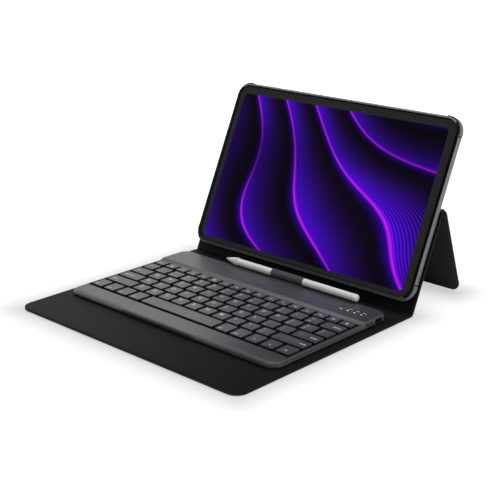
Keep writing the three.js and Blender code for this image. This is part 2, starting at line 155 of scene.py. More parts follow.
class Shape:
    """Points in millimetres and faces, gathered before they become one mesh."""

    def __init__(self):
        self.points, self.faces = [], []

    def loft(self, rings, caps=True):
        first, count = len(self.points), len(rings[0])
        for ring in rings:
            self.points.extend(tuple(p) for p in ring)
        for level in range(len(rings) - 1):
            for i in range(count):
                a, b = first + level * count + i, first + level * count + (i + 1) % count
                self.faces.append((a, b, b + count, a + count))
        if caps:
            last = first + (len(rings) - 1) * count
            self.faces.append(tuple(first + i for i in reversed(range(count))))
            self.faces.append(tuple(last + i for i in range(count)))
        return self

    def stack(self, width, length, front, levels, rear=None, **place):
        return self.loft([[(px, py, z) for px, py in outline(width, length, front, rear, inset, **place)]
                          for z, inset in levels])

    def block(self, x0, x1, y0, y1, z0, z1, radius=0.3, edge=0.15, segments=3):
        place = {"x": (x0 + x1) / 2, "y": (y0 + y1) / 2, "segments": segments}
        levels = round_up(z0, edge, 2) + round_over(z1, edge, 2)
        return self.stack(x1 - x0, y1 - y0, max(radius, edge + 0.13), levels, **place)

    def along_x(self, levels, y, z, width, height, radius, segments):
        """Rounded rectangles across X, through (x, inset) levels."""
        return self.loft([[(x, y + a, z + b)
                           for a, b in outline(width, height, radius, None, inset, segments)]
                          for x, inset in levels])

    def along_y(self, levels, x, z, width, height, radius, segments):
        """Rounded rectangles across Y, through (y, inset) levels."""
        return self.loft([[(x + a, y, z - b)
                           for a, b in outline(width, height, radius, None, inset, segments)]
                          for y, inset in levels])

    def lathe(self, profile, at, axis="X", segments=40):
        """Rings of (distance along the axis, radius) round a line through at; ends are capped."""
        rings = []
        for along, radius in profile:
            ring = []
            for i in range(segments):
                a = 2 * math.pi * i / segments
                c, s = radius * math.cos(a), radius * math.sin(a)
                if axis == "X":
                    ring.append((at[0] + along, at[1] + c, at[2] + s))
                else:
                    ring.append((at[0] + c, at[1] + s, at[2] + along))
            rings.append(ring)
        return self.loft(rings)


MERGE = 2e-7  # metres


def ease(value, low, high):
    """0 up to low, 1 from high on, smooth between."""
    t = min(1.0, max(0.0, (value - low) / (high - low)))
    return t * t * (3 - 2 * t)


def finish_mesh(mesh, angle=38):
    """Outward normals, smooth faces and sharp edges past an angle."""
    work = bmesh.new()
    work.from_mesh(mesh)
    bmesh.ops.remove_doubles(work, verts=work.verts, dist=MERGE)
    bmesh.ops.recalc_face_normals(work, faces=work.faces)
    work.to_mesh(mesh)
    work.free()
    mesh.polygons.foreach_set("use_smooth", [True] * len(mesh.polygons))
    mesh.set_sharp_from_angle(angle=math.radians(angle))


def paint(piece, place, choose):
    """Gives each face the material slot that choose(centre, normal) names, both in the part's own frame."""
    back = place.inverted()
    turn = back.to_3x3()
    for face in piece.data.polygons:
        face.material_index = choose(back @ face.center / MM, (turn @ face.normal).normalized())


def build(name, shape, place, body, slot, *looks, node=None, choose=None, angle=38, weighted=True):
    """One piece from a Shape: meshed, painted, riding on its body, shown in place of its CAD node."""
    mesh = bpy.data.meshes.new(name)
    mesh.from_pydata([place @ (Vector(p) * MM) for p in shape.points], [], shape.faces)
    for look in looks:
        mesh.materials.append(look)
    finish_mesh(mesh, angle)
    piece = bpy.data.objects.new(name, mesh)
    bpy.context.scene.collection.objects.link(piece)
    if choose:
        paint(piece, place, choose)
    if weighted:
        soften = piece.modifiers.new("even_normals", "WEIGHTED_NORMAL")
        soften.keep_sharp = True
    if body:
        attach(piece, body)
    if node:
        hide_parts(node)
    return piece


def carve(piece, place, tool):
    """Cuts a Shape out of a piece, as plain mesh."""
    cutter = build(piece.name + "_cutter", tool, place, None, None, weighted=False)
    for material in piece.data.materials:
        cutter.data.materials.append(material)
    kept = [m for m in piece.modifiers if m.type != "BOOLEAN"]
    shown = [m.show_viewport for m in kept]
    for m in kept:
        m.show_viewport = False
    cut = piece.modifiers.new("cut", "BOOLEAN")
    cut.object, cut.operation, cut.solver = cutter, "DIFFERENCE", "EXACT"
    bpy.context.view_layer.update()
    graph = bpy.context.evaluated_depsgraph_get()
    result = bpy.data.meshes.new_from_object(piece.evaluated_get(graph))
    piece.modifiers.remove(cut)
    for m, was in zip(kept, shown):
        m.show_viewport = was
    piece.data = result
    result.name = piece.name
    bpy.data.objects.remove(cutter)
    finish_mesh(result)


def recolour(look, *nodes):
    """Gives carried-over CAD nodes a look."""
    for node in nodes:
        materials = frame["nodes"][node].data.materials
        materials.clear()
        materials.append(look)


# ------------------------------------------------------------------ materials

class Look:
    """A procedural material: node tree helpers round one Principled shader."""

    def __init__(self, name, roughness=0.5, metallic=0.0, specular=0.5):
        self.material = bpy.data.materials.new(name)
        self.material.use_nodes = True
        self.tree = self.material.node_tree
        self.nodes, self.links = self.tree.nodes, self.tree.links
        self.shader = next(n for n in self.nodes if n.type == "BSDF_PRINCIPLED")
        self.place = self.nodes.new("ShaderNodeTexCoord").outputs["Object"]
        self.normal = None
        self.rough(roughness)
        self.shine(specular)
        self.plug(metallic, self.shader.inputs["Metallic"])

    def plug(self, value, socket):
        """Links another socket's value, or sets a plain one."""
        if isinstance(value, bpy.types.NodeSocket):
            self.links.new(value, socket)
        elif socket.type == "RGBA":
            socket.default_value = (*value, 1.0)
        else:
            socket.default_value = value

    def node(self, kind, **inputs):
        made = self.nodes.new(kind)
        for key, value in inputs.items():
            self.plug(value, made.inputs[key.replace("_", " ")])
        return made

    def stretched(self, x=1.0, y=1.0, z=1.0):
        return self.node("ShaderNodeMapping", Vector=self.place, Scale=(x, y, z)).outputs[0]

    def noise(self, scale, detail=2.0, rough=0.5, where=None):
        made = self.node("ShaderNodeTexNoise", Vector=where or self.place, Scale=scale, Detail=detail,
                         Roughness=rough)
        return made.outputs["Fac"]

    def cells(self, scale, feature="F1", where=None):
        made = self.node("ShaderNodeTexVoronoi", Vector=where or self.place, Scale=scale)
        made.feature = feature
        return made.outputs["Distance"]

    def maths(self, operation, a, b=0.0, clamp=False):
        made = self.nodes.new("ShaderNodeMath")
        made.operation, made.use_clamp = operation, clamp
        self.plug(a, made.inputs[0])
        self.plug(b, made.inputs[1])
        return made.outputs[0]

    def between(self, value, low, high, to_low=0.0, to_high=1.0):
        limits = dict(From_Min=low, From_Max=high, To_Min=to_low, To_Max=to_high)
        return self.node("ShaderNodeMapRange", Value=value, **limits).outputs[0]

    def rightward(self, start, end, forward=0.0):
        """A smooth share, from 0 to 1 between two places along X, or along X and forward."""
        split = self.node("ShaderNodeSeparateXYZ", Vector=self.place)
        along = self.maths("SUBTRACT", split.outputs[0], self.maths("MULTIPLY", split.outputs[1], forward))
        share = self.node("ShaderNodeMapRange", Value=along, From_Min=start, From_Max=end)
        share.interpolation_type = "SMOOTHSTEP"
        return share.outputs[0]

    def mix(self, share, first, second):
        made = self.nodes.new("ShaderNodeMix")
        made.data_type = "RGBA"
        for key, value in (("Factor_Float", share), ("A_Color", first), ("B_Color", second)):
            self.plug(value, next(s for s in made.inputs if s.identifier == key))
        return next(s for s in made.outputs if s.identifier == "Result_Color")

    def colour(self, value):
        self.plug(value, self.shader.inputs["Base Color"])

    def rough(self, value):
        self.plug(value, self.shader.inputs["Roughness"])

    def shine(self, value):
        self.plug(value, self.shader.inputs["Specular IOR Level"])

    def bump(self, height, depth_mm, strength=1.0):
        made = self.node("ShaderNodeBump", Height=height, Distance=depth_mm * MM, Strength=strength)
        if self.normal:
            self.links.new(self.normal, made.inputs["Normal"])
        self.normal = made.outputs[0]
        self.links.new(self.normal, self.shader.inputs["Normal"])

    def worn_edges(self, colour, brighter, amount=0.5):
        """Convex edges a little paler, where hands rub them, in uneven patches."""
        point = self.nodes.new("ShaderNodeNewGeometry").outputs["Pointiness"]
        edge = self.between(point, 0.51, 0.60)
        patch = self.between(self.noise(90, 3), 0.42, 0.62)
        return self.mix(self.maths("MULTIPLY", self.maths("MULTIPLY", edge, patch), amount), colour, brighter)


def grey(value, tint=(1.0, 1.0, 1.0)):
    return tuple(value * t for t in tint)


def leather(name, value, specular=0.22):
    """Grained synthetic leather: pebbles of about a millimetre, fine pores, faint mottling."""
    look = Look(name, specular=specular)
    warp = look.noise(420, 3)
    offset = look.nodes.new("ShaderNodeVectorMath")
    offset.operation = "SCALE"
    look.plug(warp, offset.inputs[0])
    look.plug(0.0007, offset.inputs["Scale"])
    moved = look.nodes.new("ShaderNodeVectorMath")
    moved.operation = "ADD"
    look.plug(look.place, moved.inputs[0])
    look.plug(offset.outputs[0], moved.inputs[1])
    pebble = look.cells(1150, "DISTANCE_TO_EDGE", moved.outputs[0])
    raised = look.between(pebble, 0.0, 0.32)
    pores = look.noise(5200, 2)
    mottle = look.between(look.noise(28, 4), 0.35, 0.65)
    base = look.mix(mottle, grey(value * 0.86), grey(value * 1.12))
    base = look.mix(raised, grey(value * 0.55), base)
    look.colour(look.worn_edges(base, grey(value * 2.0), 0.4))
    look.rough(look.between(raised, 0, 1, 0.74, 0.56))
    look.bump(raised, 0.05, 0.55)
    look.bump(pores, 0.02, 0.35)
    return look.material


def microfibre(name, value, sheen=(0.10, 0.02)):
    """Brushed lining: short nap with soft streaks; its sheen fades from left to right, a painted shade over
    the reflections on the right.
    """
    look = Look(name, roughness=0.7)
    # painted shade: less shine towards the right
    look.shine(look.between(look.rightward(-0.13, 0.135), 0.0, 1.0, *sheen))
    nap = look.noise(2600, 4, 0.7)
    streak = look.noise(240, 3, 0.6, look.stretched(0.35, 1.0, 1.0))
    cloud = look.between(look.noise(16, 3), 0.3, 0.7)
    base = look.mix(cloud, grey(value * 0.9), grey(value * 1.1))
    base = look.mix(look.between(nap, 0.35, 0.65), grey(value * 0.72), base)
    base = look.mix(look.maths("MULTIPLY", look.between(streak, 0.45, 0.7), 0.25), base, grey(value * 1.35))
    look.colour(base)
    look.rough(look.between(nap, 0.3, 0.7, 0.72, 0.54))
    look.bump(nap, 0.06, 0.5)
    look.bump(streak, 0.05, 0.3)
    return look.material


def moulded(name, value, tint=(1, 1, 1), rough=0.5, grain=0.02, specular=0.45, wear=2.0, scale=3200,
            shade_right=None):
    """Moulded polymer with spark-eroded texture, slight flow clouding and rubbed edges.

    The share given for the right is the share of its value that satin paint keeps there, a painted shade and
    painted reflection of the darker side; the front right corner is painted darker still and less shiny."""
    look = Look(name, specular=specular)
    spark = look.noise(scale, 3, 0.65)
    cloud = look.between(look.noise(45, 3), 0.35, 0.65)
    smear = look.noise(150, 4, 0.6, look.stretched(1.0, 0.3, 1.0))
    base = look.mix(cloud, grey(value * 0.93, tint), grey(value * 1.07, tint))
    base = look.mix(look.between(spark, 0.3, 0.7), grey(value * 0.86, tint), base)
    # painted shade and painted reflection: darker and a little violet towards the right, darkest and least
    # shiny at the front right corner
    if shade_right:  # darker and a little violet towards the right, and darkest at the front right corner
        base = look.mix(look.rightward(-0.13, 0.11), base, grey(value * shade_right, (1.0, 0.975, 1.16)))
        corner = look.rightward(0.05, 0.125, 0.5)
        base = look.mix(corner, base, grey(value * shade_right * 0.45, (1.0, 0.98, 1.10)))
        look.shine(look.between(corner, 0.0, 1.0, specular, specular * 0.55))
    look.colour(look.worn_edges(base, grey(value * wear, tint), 0.35))
    look.rough(look.between(smear, 0.35, 0.7, rough + 0.025, rough - 0.025))
    look.bump(spark, grain, 0.6)
    return look.material


def metal(name, value, rough=0.3, brushed=(1.0, 0.05, 1.0)):
    look = Look(name, metallic=1.0)
    lines = look.noise(3000, 3, 0.6, look.stretched(*brushed))
    spots = look.between(look.noise(120, 3), 0.35, 0.7)
    look.colour(look.mix(spots, grey(value * 0.9), grey(value)))
    look.rough(look.between(lines, 0.3, 0.7, rough + 0.08, rough - 0.06))
    look.bump(lines, 0.004, 0.4)
    return look.material


def glass_black(name, value, specular=0.5, rough=0.06):
    """Black glass: faint finger smears in the gloss."""
    look = Look(name, specular=specular)
    smear = look.noise(38, 5, 0.65, look.stretched(1.0, 0.6, 1.3))
    look.colour(look.mix(look.between(look.noise(20, 2), 0.3, 0.7), grey(value * 0.9), grey(value * 1.1)))
    look.rough(look.between(smear, 0.45, 0.75, rough, rough + 0.09))
    look.bump(look.noise(900, 2), 0.0008, 0.2)
    return look.material


def display_look(name):
    """Lit screen: broad violet waves with bright crests and fine contour lines, drawn from sines alone."""
    look = Look(name, roughness=0.2, specular=0.03)
    look.colour((0.001, 0.001, 0.0015))
    chart = look.nodes.new("ShaderNodeUVMap")
    chart.uv_map = "screen"
    split = look.node("ShaderNodeSeparateXYZ", Vector=chart.outputs[0])
    u, v = split.outputs[0], split.outputs[1]

    def add(a, b, clamp=False):
        return look.maths("ADD", a, b, clamp)

    def times(a, b, clamp=False):
        return look.maths("MULTIPLY", a, b, clamp)

    def power(a, b):
        return look.maths("POWER", a, b)

    def sine(amount, per_u, per_v, phase):
        turn = add(add(times(u, per_u), times(v, per_v)), phase)
        return times(look.maths("SINE", turn), amount)

    flow = add(times(u, 2.7), times(v, add(sine(1.3, 3.0, 0.0, -0.5), 1.25)))
    for term in (sine(0.24, 1.6, 5.4, 0.3), sine(0.07, 7.0, -5.0, 1.1)):
        flow = add(flow, term)
    band = look.maths("FRACT", flow)
    patch = add(sine(0.5, 5.4, 3.1, 2.6), sine(0.5, -2.2, 6.3, 0.9))
    patch = look.between(patch, -0.8, 0.45, 0.36, 1.0)
    ribs_per_wave = 30
    ribs = look.maths("SINE", times(flow, 2 * math.pi * ribs_per_wave))
    ribs = power(add(0.5, times(ribs, 0.5)), 2.0)
    crest = power(look.between(band, 0.0, 0.055, 1.0, 0.0), 2.2)
    crest = look.maths("MAXIMUM", crest, power(look.between(band, 0.965, 1.0), 2.0), True)
    after = power(look.between(band, 0.0, 0.72, 1.0, 0.0), 1.5)
    before = times(power(look.between(band, 0.82, 1.0), 1.6), 0.8)
    body = times(look.maths("MAXIMUM", after, before), patch)
    strength = times(body, add(0.74, times(ribs, 0.45)), True)
    hue = look.mix(strength, (0.016, 0.0, 0.15), (0.066, 0.0, 0.80))
    glow = look.mix(power(strength, 0.9), (0.0, 0.0, 0.001), hue)
    violet = times(times(ribs, 0.07), look.between(band, 0.0, 0.95, 1.0, 0.10))
    glow = look.mix(times(violet, patch), glow, (0.55, 0.12, 1.0))
    lit = times(crest, look.between(patch, 0.30, 0.85, 0.12, 1.0))
    glow = look.mix(lit, glow, (0.62, 0.01, 1.0))
    look.plug(glow, look.shader.inputs["Emission Color"])
    look.plug(1.0, look.shader.inputs["Emission Strength"])
    return look.material


def elastic(name, value):
    """Woven elastic: ribs along the pen with a cross thread."""
    look = Look(name, roughness=0.85, specular=0.2)
    warp = look.node("ShaderNodeTexWave", Vector=look.stretched(1, 0, 0), Scale=620, Distortion=0.6,
                     Detail=1.0)
    weft = look.node("ShaderNodeTexWave", Vector=look.stretched(0, 0.7, 1), Scale=380, Distortion=0.8,
                     Detail=1.0)
    thread = look.maths("MULTIPLY", warp.outputs["Fac"], weft.outputs["Fac"])
    fuzz = look.noise(5200, 3)
    base = look.mix(thread, grey(value * 0.6, (1, 0.96, 1.14)), grey(value * 1.25, (1, 0.96, 1.14)))
    look.colour(look.mix(look.between(fuzz, 0.35, 0.7), base, grey(value * 1.1)))
    look.rough(look.between(thread, 0, 1, 0.92, 0.74))
    look.bump(thread, 0.07, 0.7)
    look.bump(fuzz, 0.02, 0.3)
    return look.material


def fibre_board(name):
    look = Look(name, roughness=0.95, specular=0.1)
    strands = look.noise(700, 5, 0.7, look.stretched(1.0, 0.2, 1.0))
    specks = look.cells(1500)
    base = look.mix(look.between(strands, 0.35, 0.65), (0.06, 0.05, 0.042), (0.11, 0.095, 0.078))
    look.colour(look.mix(look.between(specks, 0.0, 0.2), (0.03, 0.026, 0.022), base))
    look.bump(strands, 0.05, 0.5)
    return look.material


def circuit_board(name):
    look = Look(name, roughness=0.45, specular=0.5)
    tracks = look.node("ShaderNodeTexBrick", Vector=look.place, Scale=170)
    tracks.inputs["Mortar Size"].default_value = 0.045
    grain = look.noise(2500, 2)
    look.colour(look.mix(tracks.outputs["Fac"], (0.006, 0.045, 0.026), (0.02, 0.12, 0.07)))
    look.rough(look.between(grain, 0.3, 0.7, 0.5, 0.36))
    look.bump(tracks.outputs["Fac"], 0.03, 0.6)
    return look.material


SKIN = leather("grained_leather", 0.0120, 0.13)
# a lighter copy of the grained leather, for the stand's flap: painted light
FLAP_SKIN_LIT = leather("stand_leather_painted_light", 0.023, 0.16)
# a darker copy of the grained leather, for the spine under the tray: painted shade
SPINE_SKIN_SHADED = leather("spine_leather_painted_shade", 0.0055, 0.06)
EDGE_PAINT = moulded("leather_edge_paint", 0.0022, rough=0.6, specular=0.06, wear=1.5, grain=0.02)
LINING = microfibre("brushed_microfibre", 0.0052)
# a lighter, shinier copy of the lining, for the stand's flap: painted light
FLAP_LINING_LIT = microfibre("stand_microfibre_painted_light", 0.0115, (0.13, 0.13))
BOARD = fibre_board("pressed_fibre_board")
SHELL = moulded("tray_grey_polymer", 0.090, rough=0.5, wear=1.3)
LIP = moulded("tray_black_lip", 0.0045, rough=0.5, specular=0.2, wear=2.0, grain=0.012)
# a lighter copy of the black lip, for the bottom lip only: painted light
BOTTOM_LIP_LIT = moulded("tray_bottom_lip_painted_light", 0.024, rough=0.5, specular=0.2, wear=1.3, grain=0.012)
# near-black and matte, for the groove and the outer part of the side lips: painted shade
GROOVE_SHADE = moulded("tray_groove_painted_shade", 0.0012, rough=0.8, specular=0.03, wear=1.0, grain=0.012)
RUBBER = moulded("bumper_grey_rubber", 0.090, rough=0.62, grain=0.03, specular=0.35, wear=1.4)
# deck and key paint are darker and a little violet towards the right and darker still at the front right
# corner: painted shade and painted reflection
DECK = moulded("deck_satin_paint", 0.046, rough=0.36, grain=0.008, specular=0.5, wear=1.4, scale=5200,
               shade_right=0.55)
CAP = moulded("key_satin_paint", 0.047, rough=0.40, grain=0.010, specular=0.48, wear=1.6, scale=5200,
              shade_right=0.80)
CAP_SIDE = moulded("key_black_sides", 0.0045, rough=0.5, specular=0.25, wear=1.6)
FRAME_GREY = moulded("case_dark_frame", 0.018, rough=0.5, specular=0.35, wear=1.8)
# a lighter copy of the frame grey, for the case's sides: painted light
SIDE_BAND_LIT = moulded("case_side_band_painted_light", 0.055, rough=0.45, specular=0.4, wear=1.6)
BLACK = moulded("case_black_polymer", 0.0042, rough=0.55, specular=0.22, wear=2.0)
MEMBRANE = moulded("dome_sheet_rubber", 0.0028, rough=0.75, specular=0.12, wear=1.3)
INK = moulded("pale_printing", 0.36, (0.98, 0.98, 1.0), rough=0.6, grain=0.004, wear=1.0)
MARK = moulded("status_printing", 0.36, (0.98, 0.98, 1.0), rough=0.6, grain=0.004, wear=1.0)
PEN = moulded("pen_satin_polymer", 0.50, (1.0, 1.0, 0.99), rough=0.42, grain=0.004, specular=0.3, wear=1.02)
PEN_RING = metal("pen_ring_metal", 0.42, 0.28)
NIB = moulded("pen_nib", 0.40, rough=0.5, grain=0.004, wear=1.0)
LOOP = elastic("elastic_webbing", 0.055)
STEEL = metal("nickel_steel", 0.55, 0.3)
PORT_METAL = metal("port_tin", 0.07, 0.35, (0.05, 1.0, 1.0))
ANODISED = metal("anodised_housing", 0.20, 0.42)
GLASS = glass_black("black_cover_glass", 0.0145, specular=0.14, rough=0.14)
LENS = glass_black("camera_glass", 0.004, specular=0.6, rough=0.04)
SCREEN = display_look("lit_screen")
LIGHT = moulded("light_guide", 0.55, (0.95, 1.0, 0.95), rough=0.25, grain=0.002, specular=0.6, wear=1.0)
CIRCUIT = circuit_board("circuit_board")
FOIL = metal("battery_foil", 0.42, 0.5, (0.3, 1.0, 1.0))


# ------------------------------------------------------------------ cover panels and creases

PANEL_SKIN, PANEL_LINING = 0.7, 0.55


def cover_panel(name, place, body, width, near, far, near_radius, far_radius, lining=True, hole=None):
    """Padded panel: an outer skin with a turned edge round a pocket, and a lining sheet on top."""
    length, middle = far - near, (far + near) / 2
    size = dict(rear=far_radius, y=middle, segments=14)
    top = HALF - PANEL_LINING - 0.04 if lining else HALF
    levels = [(-HALF + 0.16, 9.0), (-HALF + 0.10, 6.0), (-HALF, 3.6), (-HALF, 3.1), (-HALF + 0.10, 2.75),
              (-HALF, 2.4), (-HALF, 1.6)] if body != "base" else [(-HALF, 9.0), (-HALF, 2.6)]
    levels += round_up(-HALF, 0.85, 6)
    levels += [(-0.1, -0.06)]
    if lining:
        levels += [(top - 0.14, 0.0), (top, 0.16), (top, 2.9), (top - 0.05, 3.0), (-HALF + PANEL_SKIN, 3.0)]
    else:
        levels += round_over(HALF, 0.75, 6) + [(HALF, 1.6), (HALF - 0.08, 2.0), (HALF, 2.4), (HALF, 4.0)]
    skin = Shape().stack(width, length, near_radius, levels, **size)
    # copies of one leather: the spine's darker skin is painted shade and the flap's lighter skin is painted
    # light
    leathers = {"spine": SPINE_SKIN_SHADED, "stand_flap": FLAP_SKIN_LIT}
    sheets = [build(f"{name}_cover_skin", skin, place, body, "cover_skin", leathers.get(name, SKIN),
                    EDGE_PAINT, node=f"{name}_outer_skin",
                    choose=lambda p, n: int(abs(n.z) < 0.7 and abs(p.x) > width / 2 - 0.9))]
    if lining:
        sheet = [(HALF - PANEL_LINING, 0.25), (HALF - PANEL_LINING, 0.12), (HALF - PANEL_LINING + 0.1, 0.04)]
        sheet += round_over(HALF, 0.38, 5, 0.04) + [(HALF, 1.2), (HALF - 0.07, 1.55), (HALF - 0.07, 1.75),
                                                   (HALF, 2.1), (HALF, 6.0)]
        inner = Shape().stack(width, length, near_radius, sheet, **size)
        # the flap's lining, the one with the window, is the lighter copy: painted light
        sheets.append(build(f"{name}_lining", inner, place, body, "cover_lining",
                            FLAP_LINING_LIT if hole else LINING, node=f"{name}_inner_lining"))
    if hole:
        x, y, across, along, radius = hole
        for sheet in sheets:
            carve(sheet, place, Shape().stack(across, along, radius, [(-HALF - 2, 0), (HALF + 2, 0)],
                                              x=x, y=y, segments=10))


def crease_strip(name, place_a, place_b, width, thick=1.3, gap=1.5, hold=2.2, edge=0.96):
    """One sheet of skin from panel to panel, thinned where it is pressed, bent round the crease."""
    pivot = place_b.translation
    dir_a = (place_a.to_3x3() @ Vector((0, 1, 0))).normalized()
    dir_b = (place_b.to_3x3() @ Vector((0, 1, 0))).normalized()
    turn = math.atan2(dir_a.cross(dir_b).x, dir_a.dot(dir_b))
    stations = [(pivot + dir_a * (hold * i / 4 - hold - gap) * MM, dir_a, 1.0) for i in range(4)]
    steps = 12
    for i in range(steps + 1):
        share = i / steps
        angle = turn * share
        tangent = Matrix.Rotation(angle, 3, "X") @ dir_a
        if abs(turn) < 1e-3:
            point = pivot + dir_a * (gap * (2 * share - 1)) * MM
        else:
            radius = gap / math.tan(abs(turn) / 2)
            normal_a = Matrix.Rotation(math.copysign(math.pi / 2, turn), 3, "X") @ dir_a
            middle = pivot - dir_a * gap * MM + normal_a * radius * MM
            spoke = Matrix.Rotation(angle, 3, "X") @ (-normal_a)
            point = middle + spoke * radius * MM
        pinch = 1.0 - 0.22 * math.sin(math.pi * share) ** 2
        stations.append((point, tangent, pinch))
    stations += [(pivot + dir_b * (hold * i / 4 + gap) * MM, dir_b, 1.0) for i in range(1, 5)]
    rings = []
    for point, tangent, pinch in stations:
        up = Vector((1, 0, 0)).cross(tangent).normalized()
        h = thick / 2 * pinch
        rings.append([tuple(point / MM + Vector((px, 0, 0)) + up * pz)
                      for px, pz in outline(width, 2 * h, h * edge, segments=4)])
    # the spine's creases take the spine's darker leather: painted shade
    piece = build(name, Shape().loft(rings), ROW, None, "cover_skin", SPINE_SKIN_SHADED if "spine" in name else SKIN,
                  weighted=False, angle=60)
    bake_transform(piece)


COVER_WIDTH, STAND_WIDTH, GAP = 259.5, 248.0, 1.5
base_low, base_high = box_mm("base_outer_skin")
cover_panel("base", BASE, "base", COVER_WIDTH, base_low.y, base_high.y, 11, 1.5)
spine_length = (AT_REAR - AT_SPINE).length / MM
cover_panel("spine", SPINE, "spine", COVER_WIDTH, GAP, spine_length - GAP, 1.5, 1.5, lining=False)
rear_length = (AT_STRIP - AT_REAR).length / MM
cover_panel("rear", REAR, "rear_cover", COVER_WIDTH, GAP, rear_length - GAP, 1.5, 1.5)
strip_length = (AT_FLAP - AT_STRIP).length / MM
cover_panel("stand_strip", STRIP, "stand_strip", STAND_WIDTH, GAP, strip_length - GAP, 1.5, 1.5, lining=False)
flap_end = 2 * (centre("stand_flap_board") - AT_FLAP).length / MM - GAP
eye_low, eye_high = span("tablet_camera", REAR)
camera_x, camera_y = (eye_low.x + eye_high.x) / 2, (eye_low.y + eye_high.y) / 2
WINDOW = (camera_x, camera_y - rear_length - strip_length, 18.0, 18.0, 6.0)
cover_panel("stand_flap", FLAP, "stand_flap", STAND_WIDTH, GAP, flap_end, 1.5, 8, hole=WINDOW)

crease_strip("base_spine_crease", BASE, SPINE, COVER_WIDTH - 0.02, 2.56, edge=0.6)
crease_strip("spine_rear_crease", SPINE, REAR, COVER_WIDTH - 0.04, 2.5, edge=0.6)
crease_strip("rear_strip_crease", REAR, STRIP, STAND_WIDTH - 0.1)
crease_strip("strip_flap_crease", STRIP, FLAP, STAND_WIDTH - 0.1)

recolour(BOARD, "base_board", "spine_board", "rear_board", "stand_strip_board", "stand_flap_board")

RAISED = 0.3  # how far the window's trim stands out, on the outside only
profile = outline(1.3, 2 * HALF + RAISED - 0.04, 0.6, segments=5, y=-RAISED / 2 - 0.02)
window_x, window_y, window_w, window_h, window_r = WINDOW
path = outline(window_w, window_h, window_r, segments=10, x=window_x, y=window_y)
rings = []
for i, (px, py) in enumerate(path):
    before, after = path[i - 1], path[(i + 1) % len(path)]
    tangent = Vector((after[0] - before[0], after[1] - before[1])).normalized()
    rings.append([(px + tangent.y * o, py - tangent.x * o, z) for o, z in profile])
build("camera_window_trim", Shape().loft(rings + rings[:1], caps=False), FLAP, "stand_flap", "case_black",
      BLACK)


# ------------------------------------------------------------------ tray, bumpers and side buttons

TRAY_W, TRAY_H, TRAY_D = TRAY_SIZE
TRAY_R, WALL, FLOOR = 13.5, 2.4, 1.2
BAND = (0.75, 6.3)  # the grey band round the side; the back edge and the front lip are black
LIP_GROOVE = 7.75
# painted shade: the groove's near-black reaches this far over the left and right lips
SIDE_SHADE_REACH = 1.4  # how far in from the left and right sides the groove's black reaches over the lip


def tray_rings(plain, upper):
    """Rings whose (height, inset) levels go from plain, on most of the tray, to upper at its top edge."""
    guide, *pairs = (outline(TRAY_W, TRAY_H, TRAY_R, None, inset, 14)
                     for inset in [0.0] + [i for pair in zip(plain, upper) for _, i in pair])
    shares = [ease(y, TRAY_H / 2 - 11, TRAY_H / 2 - 2.5) for _, y in guide]
    rings = []
    for (za, _), (zb, _), ring_a, ring_b in zip(plain, upper, pairs[::2], pairs[1::2]):
        rings.append([(ax + (bx - ax) * w, ay + (by - ay) * w, za + (zb - za) * w)
                      for w, (ax, ay), (bx, by) in zip(shares, ring_a, ring_b)])
    return rings


plain = [(0.14, 40), (0.14, 18), (0.0, 16.5), (0.0, 3.4)] + round_up(0.0, 0.6, 5, 0.2)
plain += [(BAND[0] - 0.05, 0.3), (BAND[0], 0.3), (BAND[0] + 0.06, 0.06), (BAND[0] + 0.2, -0.05), (3.0, -0.05),
          (BAND[1] - 0.2, -0.05), (BAND[1] - 0.08, 0.03), (BAND[1], 0.3)]
upper = list(plain)
plain += [(BAND[1] + 0.05, 1.0), (LIP_GROOVE - 0.1, 1.0), (LIP_GROOVE, 0.5), (LIP_GROOVE + 0.15, 0.2)]
plain += round_over(TRAY_D - 0.15, 0.7, 8, 0.15) + [(TRAY_D - 0.13, 1.35), (TRAY_D - 0.02, 1.45)]
plain += [(TRAY_D, 1.6), (TRAY_D, 1.8), (TRAY_D - 0.06, 2.1)]
upper += [(BAND[1] + 0.03, 0.35), (BAND[1] + 0.2, 0.2), (BAND[1] + 0.3, 0.15), (BAND[1] + 0.4, 0.12)]
upper += round_over(TRAY_D, 2.05, 8, 0.12) + [(TRAY_D, 2.19), (TRAY_D - 0.01, 2.22), (TRAY_D - 0.03, 2.25)]
upper += [(TRAY_D - 0.06, 2.27), (TRAY_D - 0.08, 2.28)]
inside = [(TRAY_D - 0.35, 2.32), (TRAY_D - 0.7, 2.36), (FLOOR + 1.2, WALL), (FLOOR + 0.45, WALL + 0.2),
          (FLOOR + 0.1, WALL + 0.6), (FLOOR, WALL + 1.3)]
rings = tray_rings(plain + inside, upper + inside)
tray = build("tray_body", Shape().loft(rings), TRAY, "rear_cover", "tray_plastic",
             SHELL, LIP, BOTTOM_LIP_LIT, GROOVE_SHADE, node="tray_shell", angle=50)

lens_x, lens_y = camera_x, camera_y - (tray_low.y + tray_high.y) / 2
carve(tray, TRAY, Shape().stack(15, 15, 4.5, [(-1, -0.6), (0.0, -0.3), (0.35, 0), (FLOOR + 1, 0)],
                                x=lens_x, y=lens_y, segments=8))
side_cuts = Shape()
side_cuts.block(-TRAY_W, -TRAY_W / 2 + WALL + 1, -7, 7, FLOOR + 0.9, BAND[1] - 0.35, 1.6, 1.2, 4)
for y in (-48, 48):
    side_cuts.block(-TRAY_W, -TRAY_W / 2 + WALL + 1, y - 10, y + 10, FLOOR + 1.3, BAND[1] - 0.8, 1.2, 0.9, 4)
mid_z = (BAND[0] + BAND[1]) / 2
BUTTONS = {"volume_button_cover": (-89, 19, "volume_button"), "power_button_cover": (-66, 10, "power_button")}
for x, width, _ in BUTTONS.values():
    side_cuts.block(x - width / 2 - 0.35, x + width / 2 + 0.35, TRAY_H / 2 - WALL - 1, TRAY_H,
                    mid_z - 1.62, mid_z + 1.62, 1.4, 0.4, 4)
carve(tray, TRAY, side_cuts)

BUMP_REACH, BUMP_LOW, BUMP_TOP, PROUD = 15.5, 0.9, 8.1, 0.6


